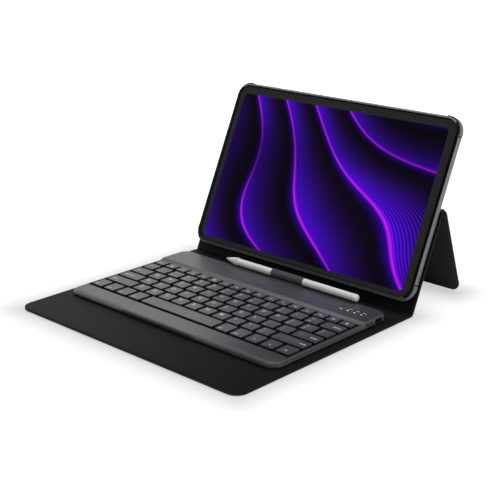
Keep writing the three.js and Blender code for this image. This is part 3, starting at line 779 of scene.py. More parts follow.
def corner_path(side_x, side_y, grow=0.0, steps=14):
    """Points and outward directions along the tray's outline round one corner."""
    radius = TRAY_R
    cx, cy = TRAY_W / 2 - radius, TRAY_H / 2 - radius
    straight = BUMP_REACH + grow - radius
    line = [((cx - straight * k, TRAY_H / 2), (0, 1)) for k in (1.0, 0.75, 0.4)]
    for i in range(steps + 1):
        a = math.pi / 2 * (1 - i / steps)
        line.append(((cx + radius * math.cos(a), cy + radius * math.sin(a)), (math.cos(a), math.sin(a))))
    line += [((TRAY_W / 2, cy - straight * k), (1, 0)) for k in (0.4, 0.75, 1.0)]
    return [((side_x * x, side_y * y), (side_x * nx, side_y * ny)) for (x, y), (nx, ny) in line]


def swept_corner(side_x, side_y, section, grow=0.0, soft_ends=True):
    """A section of (outward, height) points swept round a corner."""
    line = corner_path(side_x, side_y, grow)
    middle = sum(o for o, _ in section) / len(section)
    height = sum(z for _, z in section) / len(section)
    rings = []
    last = len(line) - 1
    for i, ((x, y), (nx, ny)) in enumerate(line):
        if soft_ends and i in (0, last):
            other = line[1][0] if i == 0 else line[-2][0]
            tx, ty = other[0] - x, other[1] - y
            size = math.hypot(tx, ty)
            ends = [(0.0, 0.90), (0.08, 0.97), (0.25, 1.0)]
            for step, scale in (ends if i == 0 else reversed(ends)):
                px, py = x + tx / size * step, y + ty / size * step
                scaled = [(middle + (o - middle) * scale, height + (z - height) * scale) for o, z in section]
                rings.append([(px + nx * o, py + ny * o, z) for o, z in scaled])
            continue
        rings.append([(x + nx * o, y + ny * o, z) for o, z in section])
    return Shape().loft(rings)


SEAT = [(-1.35, BUMP_LOW - 0.3), (3.0, BUMP_LOW - 0.3), (3.0, BUMP_TOP + 0.25), (-1.35, BUMP_TOP + 0.25)]
PAD = [(-1.1, BUMP_LOW + 0.1), (-1.0, BUMP_LOW), (0.1, BUMP_LOW), (0.38, BUMP_LOW + 0.06),
       (PROUD - 0.08, BUMP_LOW + 0.22), (PROUD, BUMP_LOW + 0.5), (PROUD, 2.4), (PROUD, 3.8),
       (PROUD, BAND[1] - 0.22), (PROUD - 0.1, BAND[1] - 0.06),
       (0.1, BAND[1] + 0.04), (0.02, BAND[1] + 0.2), (0.02, LIP_GROOVE - 0.2), (0.1, LIP_GROOVE - 0.05),
       (0.36, LIP_GROOVE + 0.02), (0.42, LIP_GROOVE + 0.2), (0.38, BUMP_TOP - 0.35), (0.22, BUMP_TOP - 0.1),
       (-0.05, BUMP_TOP), (-1.0, BUMP_TOP), (-1.1, BUMP_TOP - 0.1)]
CORNERS = {"lower_left": (-1, -1), "lower_right": (1, -1), "upper_right": (1, 1), "upper_left": (-1, 1)}
for sx, sy in CORNERS.values():
    carve(tray, TRAY, swept_corner(sx, sy, SEAT, 0.9, False))


def band_paint(point):
    """Grey band round the outside, black back edge."""
    return 0 if BAND[0] - 0.01 < point.z < BAND[1] + 0.01 else 1


def tray_paint(point, _):
    """Grey band; top edge grey as a painted highlight; bottom lip dark grey as painted light, with a grey
    painted highlight along its edge; groove and the outer part of the side lips near-black as painted shade;
    black openings.
    """
    edge = min(TRAY_W / 2 - abs(point.x), TRAY_H / 2 - abs(point.y))
    corner = Vector((abs(point.x) - TRAY_W / 2 + TRAY_R, abs(point.y) - TRAY_H / 2 + TRAY_R))
    if corner.x > 0 and corner.y > 0:
        edge = TRAY_R - corner.length
    if point.z > LIP_GROOVE and edge < WALL + 0.1:
        # painted highlight: the lip along the top edge takes the band's grey
        if point.y > TRAY_H / 2 - 5 and edge < 2.26 and corner.x < 0.75 * corner.length:
            return 0
        # painted light: the bottom lip is dark grey, with a grey painted highlight along its outer edge
        if point.y < -TRAY_H / 2 + 3.5:
            return 0 if edge < 0.75 else 2
    # painted shade: the groove and the outer part of the left and right lips are near-black
    if point.z > BAND[1] + 0.01 and edge < SIDE_SHADE_REACH and (corner.x > 0.5 * corner.length or corner.y < 0):
        return 3
    if BAND[1] + 0.01 < point.z < LIP_GROOVE + 0.1:
        return 3
    return band_paint(point) if edge < 0.32 else 1


def pad_paint(point, _):
    # painted shade: the bumpers' groove band is near-black
    return 2 if BAND[1] + 0.01 < point.z < LIP_GROOVE - 0.02 else band_paint(point)


for corner, (sx, sy) in CORNERS.items():
    build(f"corner_bumper_{corner}", swept_corner(sx, sy, PAD), TRAY, "rear_cover", "bumper_rubber",
          RUBBER, LIP, GROOVE_SHADE, node=f"tray_bumper_{corner}", choose=pad_paint, angle=50)
paint(tray, TRAY, tray_paint)

for name, (x, width, body) in BUTTONS.items():
    pad = Shape()
    levels = round_up(-1.5, 0.2, 2) + round_over(0.45, 0.35, 5) + [(0.40, 0.8)]
    pad.along_y([(TRAY_H / 2 + depth, inset) for depth, inset in levels], x, mid_z, width, 2.9, 1.4, 6)
    half = width / 2
    marks = [(x - half + 3.2, "minus"), (x + half - 3.2, "plus")] if width > 12 else [(x, "minus")]
    for mark_x, sign in marks:
        strokes = [(1.5, 0.22, 0.0), (0.22, 1.5, 0.004)] if sign == "plus" else [(1.5, 0.22, 0.0)]
        for across, down, lift in strokes:  # the second stroke of a plus stands a hair higher
            levels = [(TRAY_H / 2 + 0.3, 0), (TRAY_H / 2 + 0.50 + lift, 0), (TRAY_H / 2 + 0.54 + lift, 0.04)]
            pad.along_y(levels, mark_x, mid_z, across, down, 0.1, 2)
    build(name.replace("_cover", "_pad"), pad, TRAY, body, "bumper_rubber", RUBBER, node=name)


# ------------------------------------------------------------------ tablet

TABLET_BACK = FLOOR + 0.3
TABLET_FRONT = TABLET_BACK + 6.1
TABLET_W, TABLET_H, TABLET_R = TRAY_W - 2 * WALL - 0.6, TRAY_H - 2 * WALL - 0.6, 10.6
split = TABLET_FRONT - 0.7

housing_levels = [(TABLET_BACK, 20), (TABLET_BACK, 3)] + round_up(TABLET_BACK, 1.6, 6)
housing_levels += [(split - 1.0, -0.04), (split - 0.25, 0.0), (split, 0.22)]
plate = Shape().stack(TABLET_W, TABLET_H, TABLET_R, housing_levels, segments=14)
housing = build("tablet_back_housing", plate, TRAY, "tablet", "tablet_metal", ANODISED, BLACK,
                node="tablet_housing")
ports = Shape()
ports.block(-TABLET_W, -TABLET_W / 2 + 3, -4.6, 4.6, split - 4.2, split - 1.4, 1.3, 1.0, 4)
for group in (-48, 48):
    for k in range(5):
        y = group - 7 + 3.5 * k
        ports.block(-TABLET_W, -TABLET_W / 2 + 1.5, y - 1.1, y + 1.1, split - 3.3, split - 2.3, 0.5, 0.36, 3)
carve(housing, TRAY, ports)
paint(housing, TRAY, lambda p, n: 1 if (TABLET_W / 2 - abs(p.x)) > 0.6 and p.x < 0 and abs(n.z) < 0.99
      and TABLET_H / 2 - abs(p.y) > 4 and p.z > TABLET_BACK + 1 else 0)

glass_levels = [(split + 0.08, 0.5), (split + 0.2, 0.3)] + round_over(TABLET_FRONT, 0.42, 5, 0.3)
glass_levels += [(TABLET_FRONT, 2.0)]
build("tablet_cover_glass", Shape().stack(TABLET_W, TABLET_H, TABLET_R, glass_levels, segments=14),
      TRAY, "tablet", "tablet_glass", GLASS, node="tablet_front_glass")

SCREEN_W, SCREEN_H, SCREEN_X, SCREEN_Y = 237.4, 144.8, -0.6, TRAY_H / 2 - 83.0
screen_levels = [(TABLET_FRONT - 0.2, 0), (TABLET_FRONT + 0.012, 0)]
sheet = Shape().stack(SCREEN_W, SCREEN_H, 4.2, screen_levels, x=SCREEN_X, y=SCREEN_Y, segments=8)
screen = build("tablet_display", sheet, TRAY, "tablet", "tablet_glass", SCREEN, weighted=False)
chart = screen.data.uv_layers.new(name="screen")
to_tray = TRAY.inverted()
for corner in screen.data.loops:
    local = to_tray @ screen.data.vertices[corner.vertex_index].co / MM
    u, v = (local.x - SCREEN_X) / SCREEN_W + 0.5, (local.y - SCREEN_Y) / SCREEN_H + 0.5
    chart.data[corner.index].uv = (u, v)

camera = Shape().lathe([(0, 3.0), (0, 4.9), (-0.25, 5.0), (-0.75, 5.0), (-0.9, 4.85), (-0.9, 4.2),
                        (-0.72, 4.1), (-0.72, 2.6), (-0.66, 2.4), (-0.66, 0.8)],
                       (lens_x, lens_y, TABLET_BACK - 0.1), "Z", 48)
build("tablet_camera_lens", camera, TRAY, "tablet", "camera_glass", LENS, PEN_RING, node="tablet_camera",
      choose=lambda p, n: 1 if math.hypot(p.x - lens_x, p.y - lens_y) > 4.15 else 0)


# ------------------------------------------------------------------ keyboard case

case_low, case_high = box_mm("keyboard_bottom_case")
well_low, well_high = box_mm("key_membrane")
CASE_W, CASE_L = case_high.x - case_low.x, case_high.y - case_low.y
CASE_Y = (case_high.y + case_low.y) / 2
SPLIT = case_high.z
RIM_TOP, DECK_TOP = 7.6, box_mm("keyboard_top_case")[1].z
SLOPE_START, SLOPE_END = 51.1, 54.3
WELL = (well_low.x - 0.4, well_high.x + 0.4, well_low.y - 0.4, well_high.y + 0.4)
WELL_FLOOR = well_low.z - 0.05

bottom_levels = [(case_low.z + 0.12, 12), (case_low.z + 0.12, 9.4), (case_low.z, 9.0), (case_low.z, 2.0)]
bottom_levels += round_up(case_low.z, 0.7, 4) + [(SPLIT - 0.15, 0.0), (SPLIT - 0.02, 0.18)]
build("keyboard_underside", Shape().stack(CASE_W, CASE_L, 10, bottom_levels, rear=9.5, y=CASE_Y), ROW,
      "keyboard", "case_black", BLACK, node="keyboard_bottom_case")


def deck_height(y):
    """Top surface: flat rim, a slightly eased ramp, then the raised rear deck."""
    straight = min(1.0, max(0.0, (y - SLOPE_START) / (SLOPE_END - SLOPE_START)))
    share = straight + 0.18 * (ease(y, SLOPE_START, SLOPE_END) - straight)
    return RIM_TOP + (DECK_TOP - RIM_TOP) * share


SIDE_YS = (-30, -8, 14, 34, 46, 49.6, 50.7, 51.1, 51.6, 52.3, 53.1, 53.8, 54.3, 54.8, 56.5, 62, 70)
WELL_YS = (-26, -12, 4, 20, 34, 42, 44.6, 45.4, 46.0, 46.6, 47.0, 47.3, 47.6, 47.9, 48.1, 48.25, 48.4)


EDGE, DROP = 2.7, 2.3
FRONT_EDGE, FRONT_DROP = 5.2, 3.2  # the front's long roll-off
THUMB_EDGE, THUMB_DROP = 1.7, 2.0  # shorter in front of the space key
thumb_low, thumb_high = box_mm("space_key")
FRONT_XS = [start + 10 * i / 6 for start in (thumb_low.x - 6, thumb_high.x - 4) for i in range(7)]


def matched_ring(width, length, y, front, rear, inset, sides, segments=8):
    """Outline with extra points on its sides and front, so that rings of different plans still match."""
    points = outline(width, length, front, rear, inset, segments, y=y)
    quarter = segments + 1
    half = width / 2 - inset
    near = [(x, y - length / 2 + inset) for x in FRONT_XS]
    right = [(half, side) for side in sides]
    left = [(-half, side) for side in reversed(sides)]
    return points[:quarter] + near + points[quarter:2 * quarter] + right + points[2 * quarter:] + left


def case_ring(inset):
    return matched_ring(CASE_W, CASE_L, CASE_Y, 10, 9.5, inset, SIDE_YS)


def well_ring(grow, radius):
    return matched_ring(well_w + grow, well_l + grow, well_y, radius, radius, 0, WELL_YS)


def thumb_share(x):
    """1 in front of the space key, 0 beyond its ends."""
    return ease(x, thumb_low.x - 6, thumb_low.x + 4) * (1 - ease(x, thumb_high.x - 4, thumb_high.x + 6))


def front_share(y):
    """1 on the front edge, 0 along the sides and the back."""
    return 1 - ease(y, case_low.y + 0.8, case_low.y + 9.5)


def side_ring(z, z_front, inset):
    """One ring of the case's upright side, which is lower at the front."""
    return [(x, y, z + (z_front - z) * front_share(guide_y))
            for (_, guide_y), (x, y) in zip(case_ring(0), case_ring(inset))]


def edge_ring(inset, drop):
    """One ring of the case's edge, rolled over more at the front than elsewhere.

    inset and drop are shares of the edge's reach."""
    ring = []
    plans = (case_ring(inset * reach) for reach in (EDGE, FRONT_EDGE, THUMB_EDGE))
    for (guide_x, guide_y), a, b, c in zip(case_ring(0), *plans):
        w, thumb = front_share(guide_y), thumb_share(guide_x)
        bx, by = (p + (q - p) * thumb for p, q in zip(b, c))
        x, y = a[0] + (bx - a[0]) * w, a[1] + (by - a[1]) * w
        front_drop = FRONT_DROP + (THUMB_DROP - FRONT_DROP) * thumb
        ring.append((x, y, deck_height(y) - drop * (DROP + (front_drop - DROP) * w)))
    return ring


body_rings = [side_ring(z, z_front, inset) for z, z_front, inset in (
    (SPLIT + 0.12, SPLIT + 0.12, 0.15), (SPLIT + 0.22, SPLIT + 0.2, 0.0), (5.3, 4.0, 0.0),
    (5.4, 4.04, 0.22), (5.58, 4.1, 0.22), (5.68, 4.16, 0.0))]
for step in range(9):
    a = math.pi / 2 * step / 8
    body_rings.append(edge_ring(1 - math.cos(a), 1 - math.sin(a)))
well_w, well_l = WELL[1] - WELL[0], WELL[3] - WELL[2]
well_y = (WELL[3] + WELL[2]) / 2
outer_ring = [(x, y) for x, y, _ in body_rings[-1]]
lip_ring = well_ring(0.5, 1.6)
# closest together where the rings cross the ramp up to the rear deck
for share in (0.10, 0.25, 0.45, 0.65, 0.78, 0.84, 0.862, 0.877, 0.89, 0.905, 0.92, 0.936, 0.953, 0.968,
              0.985):
    ring = [(ox + (wx - ox) * share, oy + (wy - oy) * share)
            for (ox, oy), (wx, wy) in zip(outer_ring, lip_ring)]
    body_rings.append([(x, y, deck_height(y)) for x, y in ring])
body_rings.append([(x, y, deck_height(y) - 0.02) for x, y in lip_ring])
for z, grow in ((RIM_TOP - 0.08, 0.18), (RIM_TOP - 0.25, 0.04), (RIM_TOP - 0.6, 0.0), (WELL_FLOOR, 0.0)):
    body_rings.append([(x, y, z) for x, y in well_ring(grow, 1.5)])
top = build("keyboard_deck", Shape().loft(body_rings), ROW, "keyboard", "deck_paint",
            DECK, FRAME_GREY, BLACK, SIDE_BAND_LIT, node="keyboard_top_case")

port_low, port_high = box_mm("charging_port")
_, switch_y, switch_z = middle_mm("power_switch")
switch_end = box_mm("power_switch")[1].x
light_low, light_high = box_mm("indicator_lights")
LIGHT_XS = [light_low.x + 2 + 7.2 * i for i in range(4)]
LIGHT_Y = middle_mm("indicator_lights").y
side = CASE_W / 2
openings = Shape()
openings.block(side - 12, side + 2, port_low.y - 0.25, port_high.y + 0.25,
               port_low.z - 0.25, port_high.z + 0.25, 1.3, 0.9, 5)
openings.block(side - 12, side + 2, switch_y - 3.4, switch_y + 3.4,
               switch_z - 1.1, switch_z + 1.1, 0.8, 0.6, 4)
for x in LIGHT_XS:
    openings.lathe([(-4, 1.1), (3, 1.1)], (x, LIGHT_Y, DECK_TOP), "Z", 20)
carve(top, ROW, openings)
carve(top, ROW, Shape().block(-112, 112, 56.5, 82, SPLIT - 1, 8.2, 1.0, 0.3, 3))


def deck_paint(point, _):
    """Satin paint on top, a grey band on the sides, lighter than the front as painted light; black in the
    well and the groove, and black along the left rim as painted shade.
    """
    in_well = WELL[0] - 0.05 < point.x < WELL[1] + 0.05 and WELL[2] - 0.05 < point.y < WELL[3] + 0.05
    inside = abs(point.x) < side - 2.4 and case_low.y + 8 < point.y < case_high.y - 3
    at_back = point.y > case_high.y - 2 and point.z < 5.7
    if in_well and point.z < RIM_TOP - 0.3 or at_back or inside and point.z < 7.0:
        return 2
    if point.y < case_low.y + 6:
        return 1 if point.z < 5.3 else 0
    # painted shade: the left rim beside the keys is painted black; the seam between top and bottom shells is
    # black too
    if point.x < 1.8 - side and WELL[2] < point.y < WELL[3] or 5.35 < point.z < 5.62:
        return 2
    # painted light: the sides' lower band is lighter than the front's frame grey
    return 3 if point.z < 5.7 else 0


paint(top, ROW, deck_paint)

sheet_levels = [(well_low.z, 0.05), (well_low.z + 0.05, 0), (well_high.z - 0.08, 0), (well_high.z, 0.08)]
sheet = Shape().stack(well_w - 0.8, well_l - 0.8, 1.0, sheet_levels, y=well_y, segments=4)
build("key_dome_sheet", sheet, ROW, "keyboard", "membrane", MEMBRANE, node="key_membrane")

battery_low, battery_high = box_mm("battery_pack")
cells = Shape()
cell_levels = round_up(battery_low.z, 0.7, 3) + round_over(battery_high.z, 0.7, 3) + [(battery_high.z, 4)]
width = (battery_high.x - battery_low.x - 1.0) / 2
for x in (battery_low.x, battery_low.x + width + 1.0):
    cells.stack(width, battery_high.y - battery_low.y, 1.8, cell_levels,
                x=x + width / 2, y=middle_mm("battery_pack").y, segments=5)
build("battery_cells", cells, ROW, "keyboard", "battery", FOIL, node="battery_pack")
recolour(CIRCUIT, "controller_board")
recolour(STEEL, "keyboard_holding_magnets")

_, port_y, port_z = middle_mm("charging_port")
port_w, port_h = port_high.y - port_low.y, port_high.z - port_low.z
port = Shape()
port.along_x([(port_low.x, 0.0), (side - 0.45, 0.0), (side - 0.3, 0.12), (side - 0.32, 0.3),
              (port_low.x + 1.2, 0.34)], port_y, port_z, port_w, port_h, port_h / 2 - 0.02, 8)
port.along_x([(port_low.x + 0.8, 0), (side - 1.4, 0), (side - 1.2, 0.12)], port_y, port_z, 5.6, 0.7, 0.3, 3)
build("charging_socket", port, ROW, "keyboard", "port_steel", PORT_METAL, BLACK, node="charging_port",
      choose=lambda p, n: int(abs(p.y - port_y) < 2.9 and abs(p.z - port_z) < 0.4 and p.x > port_low.x + 0.7))

slider = Shape()
slider.along_x([(side - 7, 0.0), (switch_end - 0.3, 0.0), (switch_end - 0.08, 0.1), (switch_end, 0.3)],
               switch_y, switch_z, 3.4, 1.8, 0.5, 4)
for y in (switch_y + k for k in (-0.9, -0.3, 0.3, 0.9)):
    slider.block(switch_end - 0.1, switch_end + 0.12, y - 0.1, y + 0.1, switch_z - 0.55, switch_z + 0.55,
                 0.08, 0.05, 2)
build("power_slider", slider, ROW, "power_switch", "case_black", FRAME_GREY, node="power_switch")

lights = Shape()
lights.block(light_low.x, light_high.x, light_low.y, light_high.y, light_low.z, 8.1, 0.5, 0.2)
for x in LIGHT_XS:
    lights.lathe([(-1.6, 0.98), (-0.12, 0.98), (0.03, 0.84), (0.09, 0.45)], (x, LIGHT_Y, DECK_TOP), "Z", 20)
build("status_light_guides", lights, ROW, "keyboard", "indicator", LIGHT, node="indicator_lights")

pale, dark = Shape(), Shape()
FLAT = (DECK_TOP - 0.05, DECK_TOP + 0.03, 0.2, 0.03, 2)
dark.block(LIGHT_XS[1] - 3.6, LIGHT_XS[3] + 4.6, LIGHT_Y + 2.7, LIGHT_Y + 6.4, *FLAT)
for x0, x1, y0, y1 in ((-2.6, 2.0, 5.0, 6.4), (-2.6, -1.2, 2.7, 5.0)):
    dark.block(LIGHT_XS[0] + x0, LIGHT_XS[0] + x1, LIGHT_Y + y0, LIGHT_Y + y1, *FLAT)
for i, x in enumerate(LIGHT_XS):
    dark.block(x - 0.3, x + 1.6, LIGHT_Y - 3.4, LIGHT_Y - 1.9, *FLAT)
    if i > 0:
        pale.block(x - 1.6, x + 3.0, LIGHT_Y + 3.6, LIGHT_Y + 4.5, DECK_TOP, DECK_TOP + 0.05, 0.2, 0.02, 2)
build("status_marks_pale", pale, ROW, "keyboard", "deck_paint", MARK)
build("status_marks_dark", dark, ROW, "keyboard", "deck_paint", BLACK)


# ------------------------------------------------------------------ keys and their printing

DISH = 0.10  # how deep a cap's top is dished
CAP_RISE = 1.6


def dish(inset):
    return DISH * ease(inset, 0.5, 3.9)


def key_cap(shape, x0, x1, y0, y1, top):
    """Low cap: black skirt, narrow rounded edge, shallow dished top."""
    levels = [(top - CAP_RISE, 0.25), (top - CAP_RISE + 0.12, 0.0), (top - 0.75, 0.12)]
    levels += [(top - 0.42 + 0.42 * math.sin(a), 0.16 + 0.42 * (1 - math.cos(a)))
               for a in (math.pi / 2 * i / 5 for i in range(1, 6))]
    levels += [(top - dish(inset), inset) for inset in (1.2, 1.9, 2.7, 3.5)]
    shape.stack(x1 - x0, y1 - y0, 1.25, levels, x=(x0 + x1) / 2, y=(y0 + y1) / 2, segments=5)


LEGEND_LIFT, LEGEND_ROOT = 0.025, -0.05  # printing reaches from just under a cap's surface to just over it


def on_cap(key, x, y, lift):
    """A point on a cap's dished top, lifted by a hair."""
    x0, x1, y0, y1, top = key
    return x, y, top - dish(min(x - x0, x1 - x, y - y0, y1 - y)) + lift


def print_on(shape, polygons, key, at, size):
    """Adds flat characters, closed and hair-thin, that follow the cap's dished top."""
    for polygon in polygons:
        points = [(at[0] + px * size, at[1] + py * size) for px, py in polygon]
        shape.loft([[on_cap(key, x, y, lift) for x, y in points] for lift in (LEGEND_ROOT, LEGEND_LIFT)])


def bar(x0, y0, x1, y1):
    return [(x0, y0), (x1, y0), (x1, y1), (x0, y1)]


def stroke(x0, y0, x1, y1, width=0.14):
    length = math.hypot(x1 - x0, y1 - y0)
    ox, oy = -(y1 - y0) / length * width / 2, (x1 - x0) / length * width / 2
    return [(x0 - ox, y0 - oy), (x1 - ox, y1 - oy), (x1 + ox, y1 + oy), (x0 + ox, y0 + oy)]


def disc(x, y, radius, count=12):
    return [(x + radius * math.cos(2 * math.pi * i / count), y + radius * math.sin(2 * math.pi * i / count))
            for i in range(count)]


def hoop(x, y, radius, count=10):
    """A ring drawn as short strokes."""
    points = disc(x, y, radius, count)
    return [stroke(*points[i], *points[(i + 1) % count], 0.12) for i in range(count)]


def triangle(x, y, size, turn):
    angles = [math.radians(turn + 120 * i) for i in range(3)]
    return [(x + size * math.cos(a), y + size * math.sin(a)) for a in angles]


SUN = [stroke(*near, *far, 0.1) for near, far in zip(disc(0.5, 0.5, 0.34, 8), disc(0.5, 0.5, 0.5, 8))]
SPEAKER = [bar(0.05, 0.36, 0.22, 0.64), [(0.25, 0.36), (0.48, 0.14), (0.48, 0.86), (0.25, 0.64)]]
ICONS = {
    "home": [triangle(0.5, 0.56, 0.46, 90), bar(0.24, 0.0, 0.76, 0.30)],
    "dim": [disc(0.5, 0.5, 0.16)] + SUN[::2],
    "bright": [disc(0.5, 0.5, 0.2)] + SUN,
    "find": hoop(0.42, 0.58, 0.3) + [stroke(0.66, 0.34, 0.95, 0.05, 0.16)],
    "windows": [bar(0.0, 0.0, 0.42, 0.42), bar(0.55, 0.0, 0.97, 0.42), bar(0.0, 0.55, 0.97, 0.97)],
    "keys": [bar(0.0, 0.1, 1.0, 0.22), bar(0.1, 0.4, 0.3, 0.55), bar(0.42, 0.4, 0.6, 0.55),
             bar(0.72, 0.4, 0.9, 0.55), bar(0.0, 0.75, 1.0, 0.87)],
    "previous": [triangle(0.36, 0.5, 0.34, 180), triangle(0.82, 0.5, 0.34, 180)],
    "play": [triangle(0.28, 0.5, 0.38, 0), bar(0.68, 0.2, 0.80, 0.8), bar(0.9, 0.2, 1.02, 0.8)],
    "next": [triangle(0.18, 0.5, 0.34, 0), triangle(0.64, 0.5, 0.34, 0)],
    "mute": SPEAKER + [stroke(0.62, 0.34, 0.94, 0.66)],
    "quieter": SPEAKER + [stroke(0.64, 0.34, 0.64, 0.66)],
    "louder": SPEAKER + [stroke(0.64, 0.34, 0.64, 0.66), stroke(0.84, 0.2, 0.84, 0.8)],
    "glow": [bar(0.1, 0.0, 0.9, 0.16)] + SUN[1:4],
    "pair": hoop(0.34, 0.5, 0.24) + hoop(0.68, 0.5, 0.24),
    "sleep": hoop(0.5, 0.45, 0.36) + [bar(0.44, 0.5, 0.56, 1.0)],
    "lock": [bar(0.15, 0.0, 0.85, 0.52), stroke(0.28, 0.5, 0.28, 0.82), stroke(0.72, 0.5, 0.72, 0.82),
             stroke(0.24, 0.84, 0.76, 0.84)],
    "left": [triangle(0.45, 0.5, 0.45, 180)],
    "right": [triangle(0.45, 0.5, 0.45, 0)],
    "up": [triangle(0.45, 0.4, 0.45, 90)],
    "down": [triangle(0.45, 0.5, 0.45, 270)],
}

text_meshes = {}


def words(text):
    """A word in the plain built-in font, as triangles at level 0 and again at level 1, with sides between."""
    if text not in text_meshes:
        curve = bpy.data.curves.new("word", "FONT")
        curve.body = text
        curve.resolution_u = 2
        curve.offset = 0.018
        holder = bpy.data.objects.new("word", curve)
        bpy.context.scene.collection.objects.link(holder)
        bpy.context.view_layer.update()
        mesh = bpy.data.meshes.new_from_object(holder.evaluated_get(bpy.context.evaluated_depsgraph_get()))
        work = bmesh.new()
        work.from_mesh(mesh)
        bmesh.ops.remove_doubles(work, verts=work.verts, dist=1e-5)
        bmesh.ops.triangulate(work, faces=work.faces)
        made = bmesh.ops.extrude_face_region(work, geom=list(work.faces), use_keep_orig=True)
        for vert in (g for g in made["geom"] if isinstance(g, bmesh.types.BMVert)):
            vert.co.z += 1.0
        bmesh.ops.recalc_face_normals(work, faces=work.faces)
        work.verts.index_update()
        faces = [tuple(v.index for v in f.verts) for f in work.faces]
        text_meshes[text] = [tuple(v.co) for v in work.verts], faces
        work.free()
        bpy.data.objects.remove(holder)
        bpy.data.meshes.remove(mesh)
    return text_meshes[text]


def print_word(shape, text, key, x, y, size, align=0.0):
    """Prints a word from x, or centred on it or ending at it with align 0.5 or 1."""
    points, faces = words(text)
    scale = size / 0.72  # a capital is 0.72 of the font's unit
    x -= align * max(p[0] for p in points) * scale
    first = len(shape.points)
    for px, py, level in points:
        lift = LEGEND_LIFT if level > 0.5 else LEGEND_ROOT
        shape.points.append(on_cap(key, x + px * scale, y + py * scale, lift))
    shape.faces.extend(tuple(first + i for i in face) for face in faces)


def legend(shape, mark, key):
    """A key's printing: an icon, a word, one letter, or an upper and a lower sign."""
    x0, x1, y0, y1, _ = key
    wide, deep = x1 - x0, y1 - y0
    kind, value = mark
    if kind == "icon":
        print_on(shape, ICONS[value], key, (x0 + wide * 0.5 - 1.8, y0 + deep * 0.5 - 1.8), 3.6)
    elif kind == "arrow":
        print_on(shape, ICONS[value], key, (x0 + wide * 0.5 - 1.3, y0 + deep * 0.28), 2.8)
    elif kind == "letter":
        print_word(shape, value, key, x0 + wide * 0.20, y1 - 6.0, 3.7)
    elif kind == "pair":
        for sign, y in zip(value, (y0 + 1.9, y1 - 5.1)):
            print_word(shape, sign, key, x0 + wide * 0.20, y, 2.9)
    elif kind == "low":
        print_word(shape, value, key, x0 + wide * 0.16, y0 + 2.4, 2.5)
    elif kind == "left":
        print_word(shape, value, key, x0 + 1.9, y0 + deep * 0.5 - 1.2, 2.5)
    elif kind == "right":
        print_word(shape, value, key, x1 - 1.9, y0 + deep * 0.5 - 1.2, 2.5, 1.0)


def each(kind, *values):
    return [(kind, value) for value in values]


GAP_X, GAP_SMALL, UNIT, FIRST_UNIT, LAST_UNIT = 3.4, 2.7, 13.05, 12.3, 13.6
TWO_SIGNS = ("`~", "1!", "2+", "3#", "4$", "5%", "6^", "7&", "8*", "9(", "0)", "-_", "=+")
KEY_GROUPS = {  # name: widths, or how many equal keys, and what is printed on each
    "escape_key": (1, each("left", "esc")),
    "function_keys": (15, each("icon", "home", "dim", "bright", "find", "windows", "keys", "previous", "play",
                               "next", "mute", "quieter", "louder", "glow", "pair", "sleep")),
    "lock_key": (1, each("icon", "lock")),
    "number_keys": ([FIRST_UNIT] + [UNIT] * 12, each("pair", *TWO_SIGNS)),
    "backspace_key": (1, each("right", "delete")),
    "tab_key": (1, each("left", "tab")),
    "upper_letter_keys": (12, each("letter", *"QWERTYUIOP") + each("pair", "[{", "]}")),
    "backslash_key": (1, each("pair", "/|")),
    "caps_lock_key": (1, each("left", "caps lock")),
    "middle_letter_keys": (11, each("letter", *"ASDFGHJKL") + each("pair", ";:", "',")),
    "enter_key": (1, each("right", "enter")),
    "left_shift_key": (1, each("left", "shift")),
    "lower_letter_keys": (10, each("letter", *"ZXCVBNM") + each("pair", ",<", ".>", "/?")),
    "right_shift_key": (1, each("right", "shift")),
    "left_modifier_keys": ([FIRST_UNIT] + [UNIT] * 3, each("low", "fn", "ctrl", "sys", "alt")),
    "space_key": (1, [None]),
    "right_modifier_keys": (2, each("low", "alt", "ctrl")),
    "arrow_keys": ([UNIT, UNIT, LAST_UNIT], each("arrow", "left", "down", "right")),
}
LONG_KEY = 60  # a key longer than this stands on three domes

for name, (layout, marks) in KEY_GROUPS.items():
    low, high = box_mm(name)
    gap = GAP_SMALL if name == "function_keys" else GAP_X
    widths = layout
    if isinstance(layout, int):
        widths = [(high.x - low.x - gap * (layout - 1)) / layout] * layout
    caps, printing, domes = Shape(), Shape(), Shape()
    x = low.x
    for width, mark in zip(widths, marks):
        key = (x, x + width, low.y, high.y, high.z)
        key_cap(caps, *key)
        if mark:
            legend(printing, mark, key)
        for share in (-0.36, 0.0, 0.36) if width > LONG_KEY else (0.0,):
            domes.lathe([(0.0, 3.0), (0.15, 2.9), (0.5, 2.3), (1.0, 1.8), (1.25, 1.5)],
                        (x + width * (0.5 + share), (low.y + high.y) / 2, well_high.z + 0.02), "Z", 16)
        x += width + gap
    build(f"{name}_caps" if len(widths) > 1 else f"{name}_cap", caps, ROW, name, "key_cap", CAP, CAP_SIDE,
          node=name, choose=lambda point, _: 0 if point.z > high.z - 0.36 else 1)
    if printing.points:
        build(f"{name}_printing", printing, ROW, name, "key_cap", INK, weighted=False, angle=30)
    cushion = build(f"{name}_domes", domes, ROW, "keyboard", "membrane", MEMBRANE, angle=60)
    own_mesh(cushion)


# ------------------------------------------------------------------ stylus and its loop

tip_low, tip_high = box_mm("stylus_tip")
barrel_low, barrel_high = box_mm("stylus_barrel")
cap_low, cap_high = box_mm("stylus_cap")
PEN_R = (barrel_high.y - barrel_low.y) / 2
_, PEN_Y, PEN_Z = middle_mm("stylus_barrel")

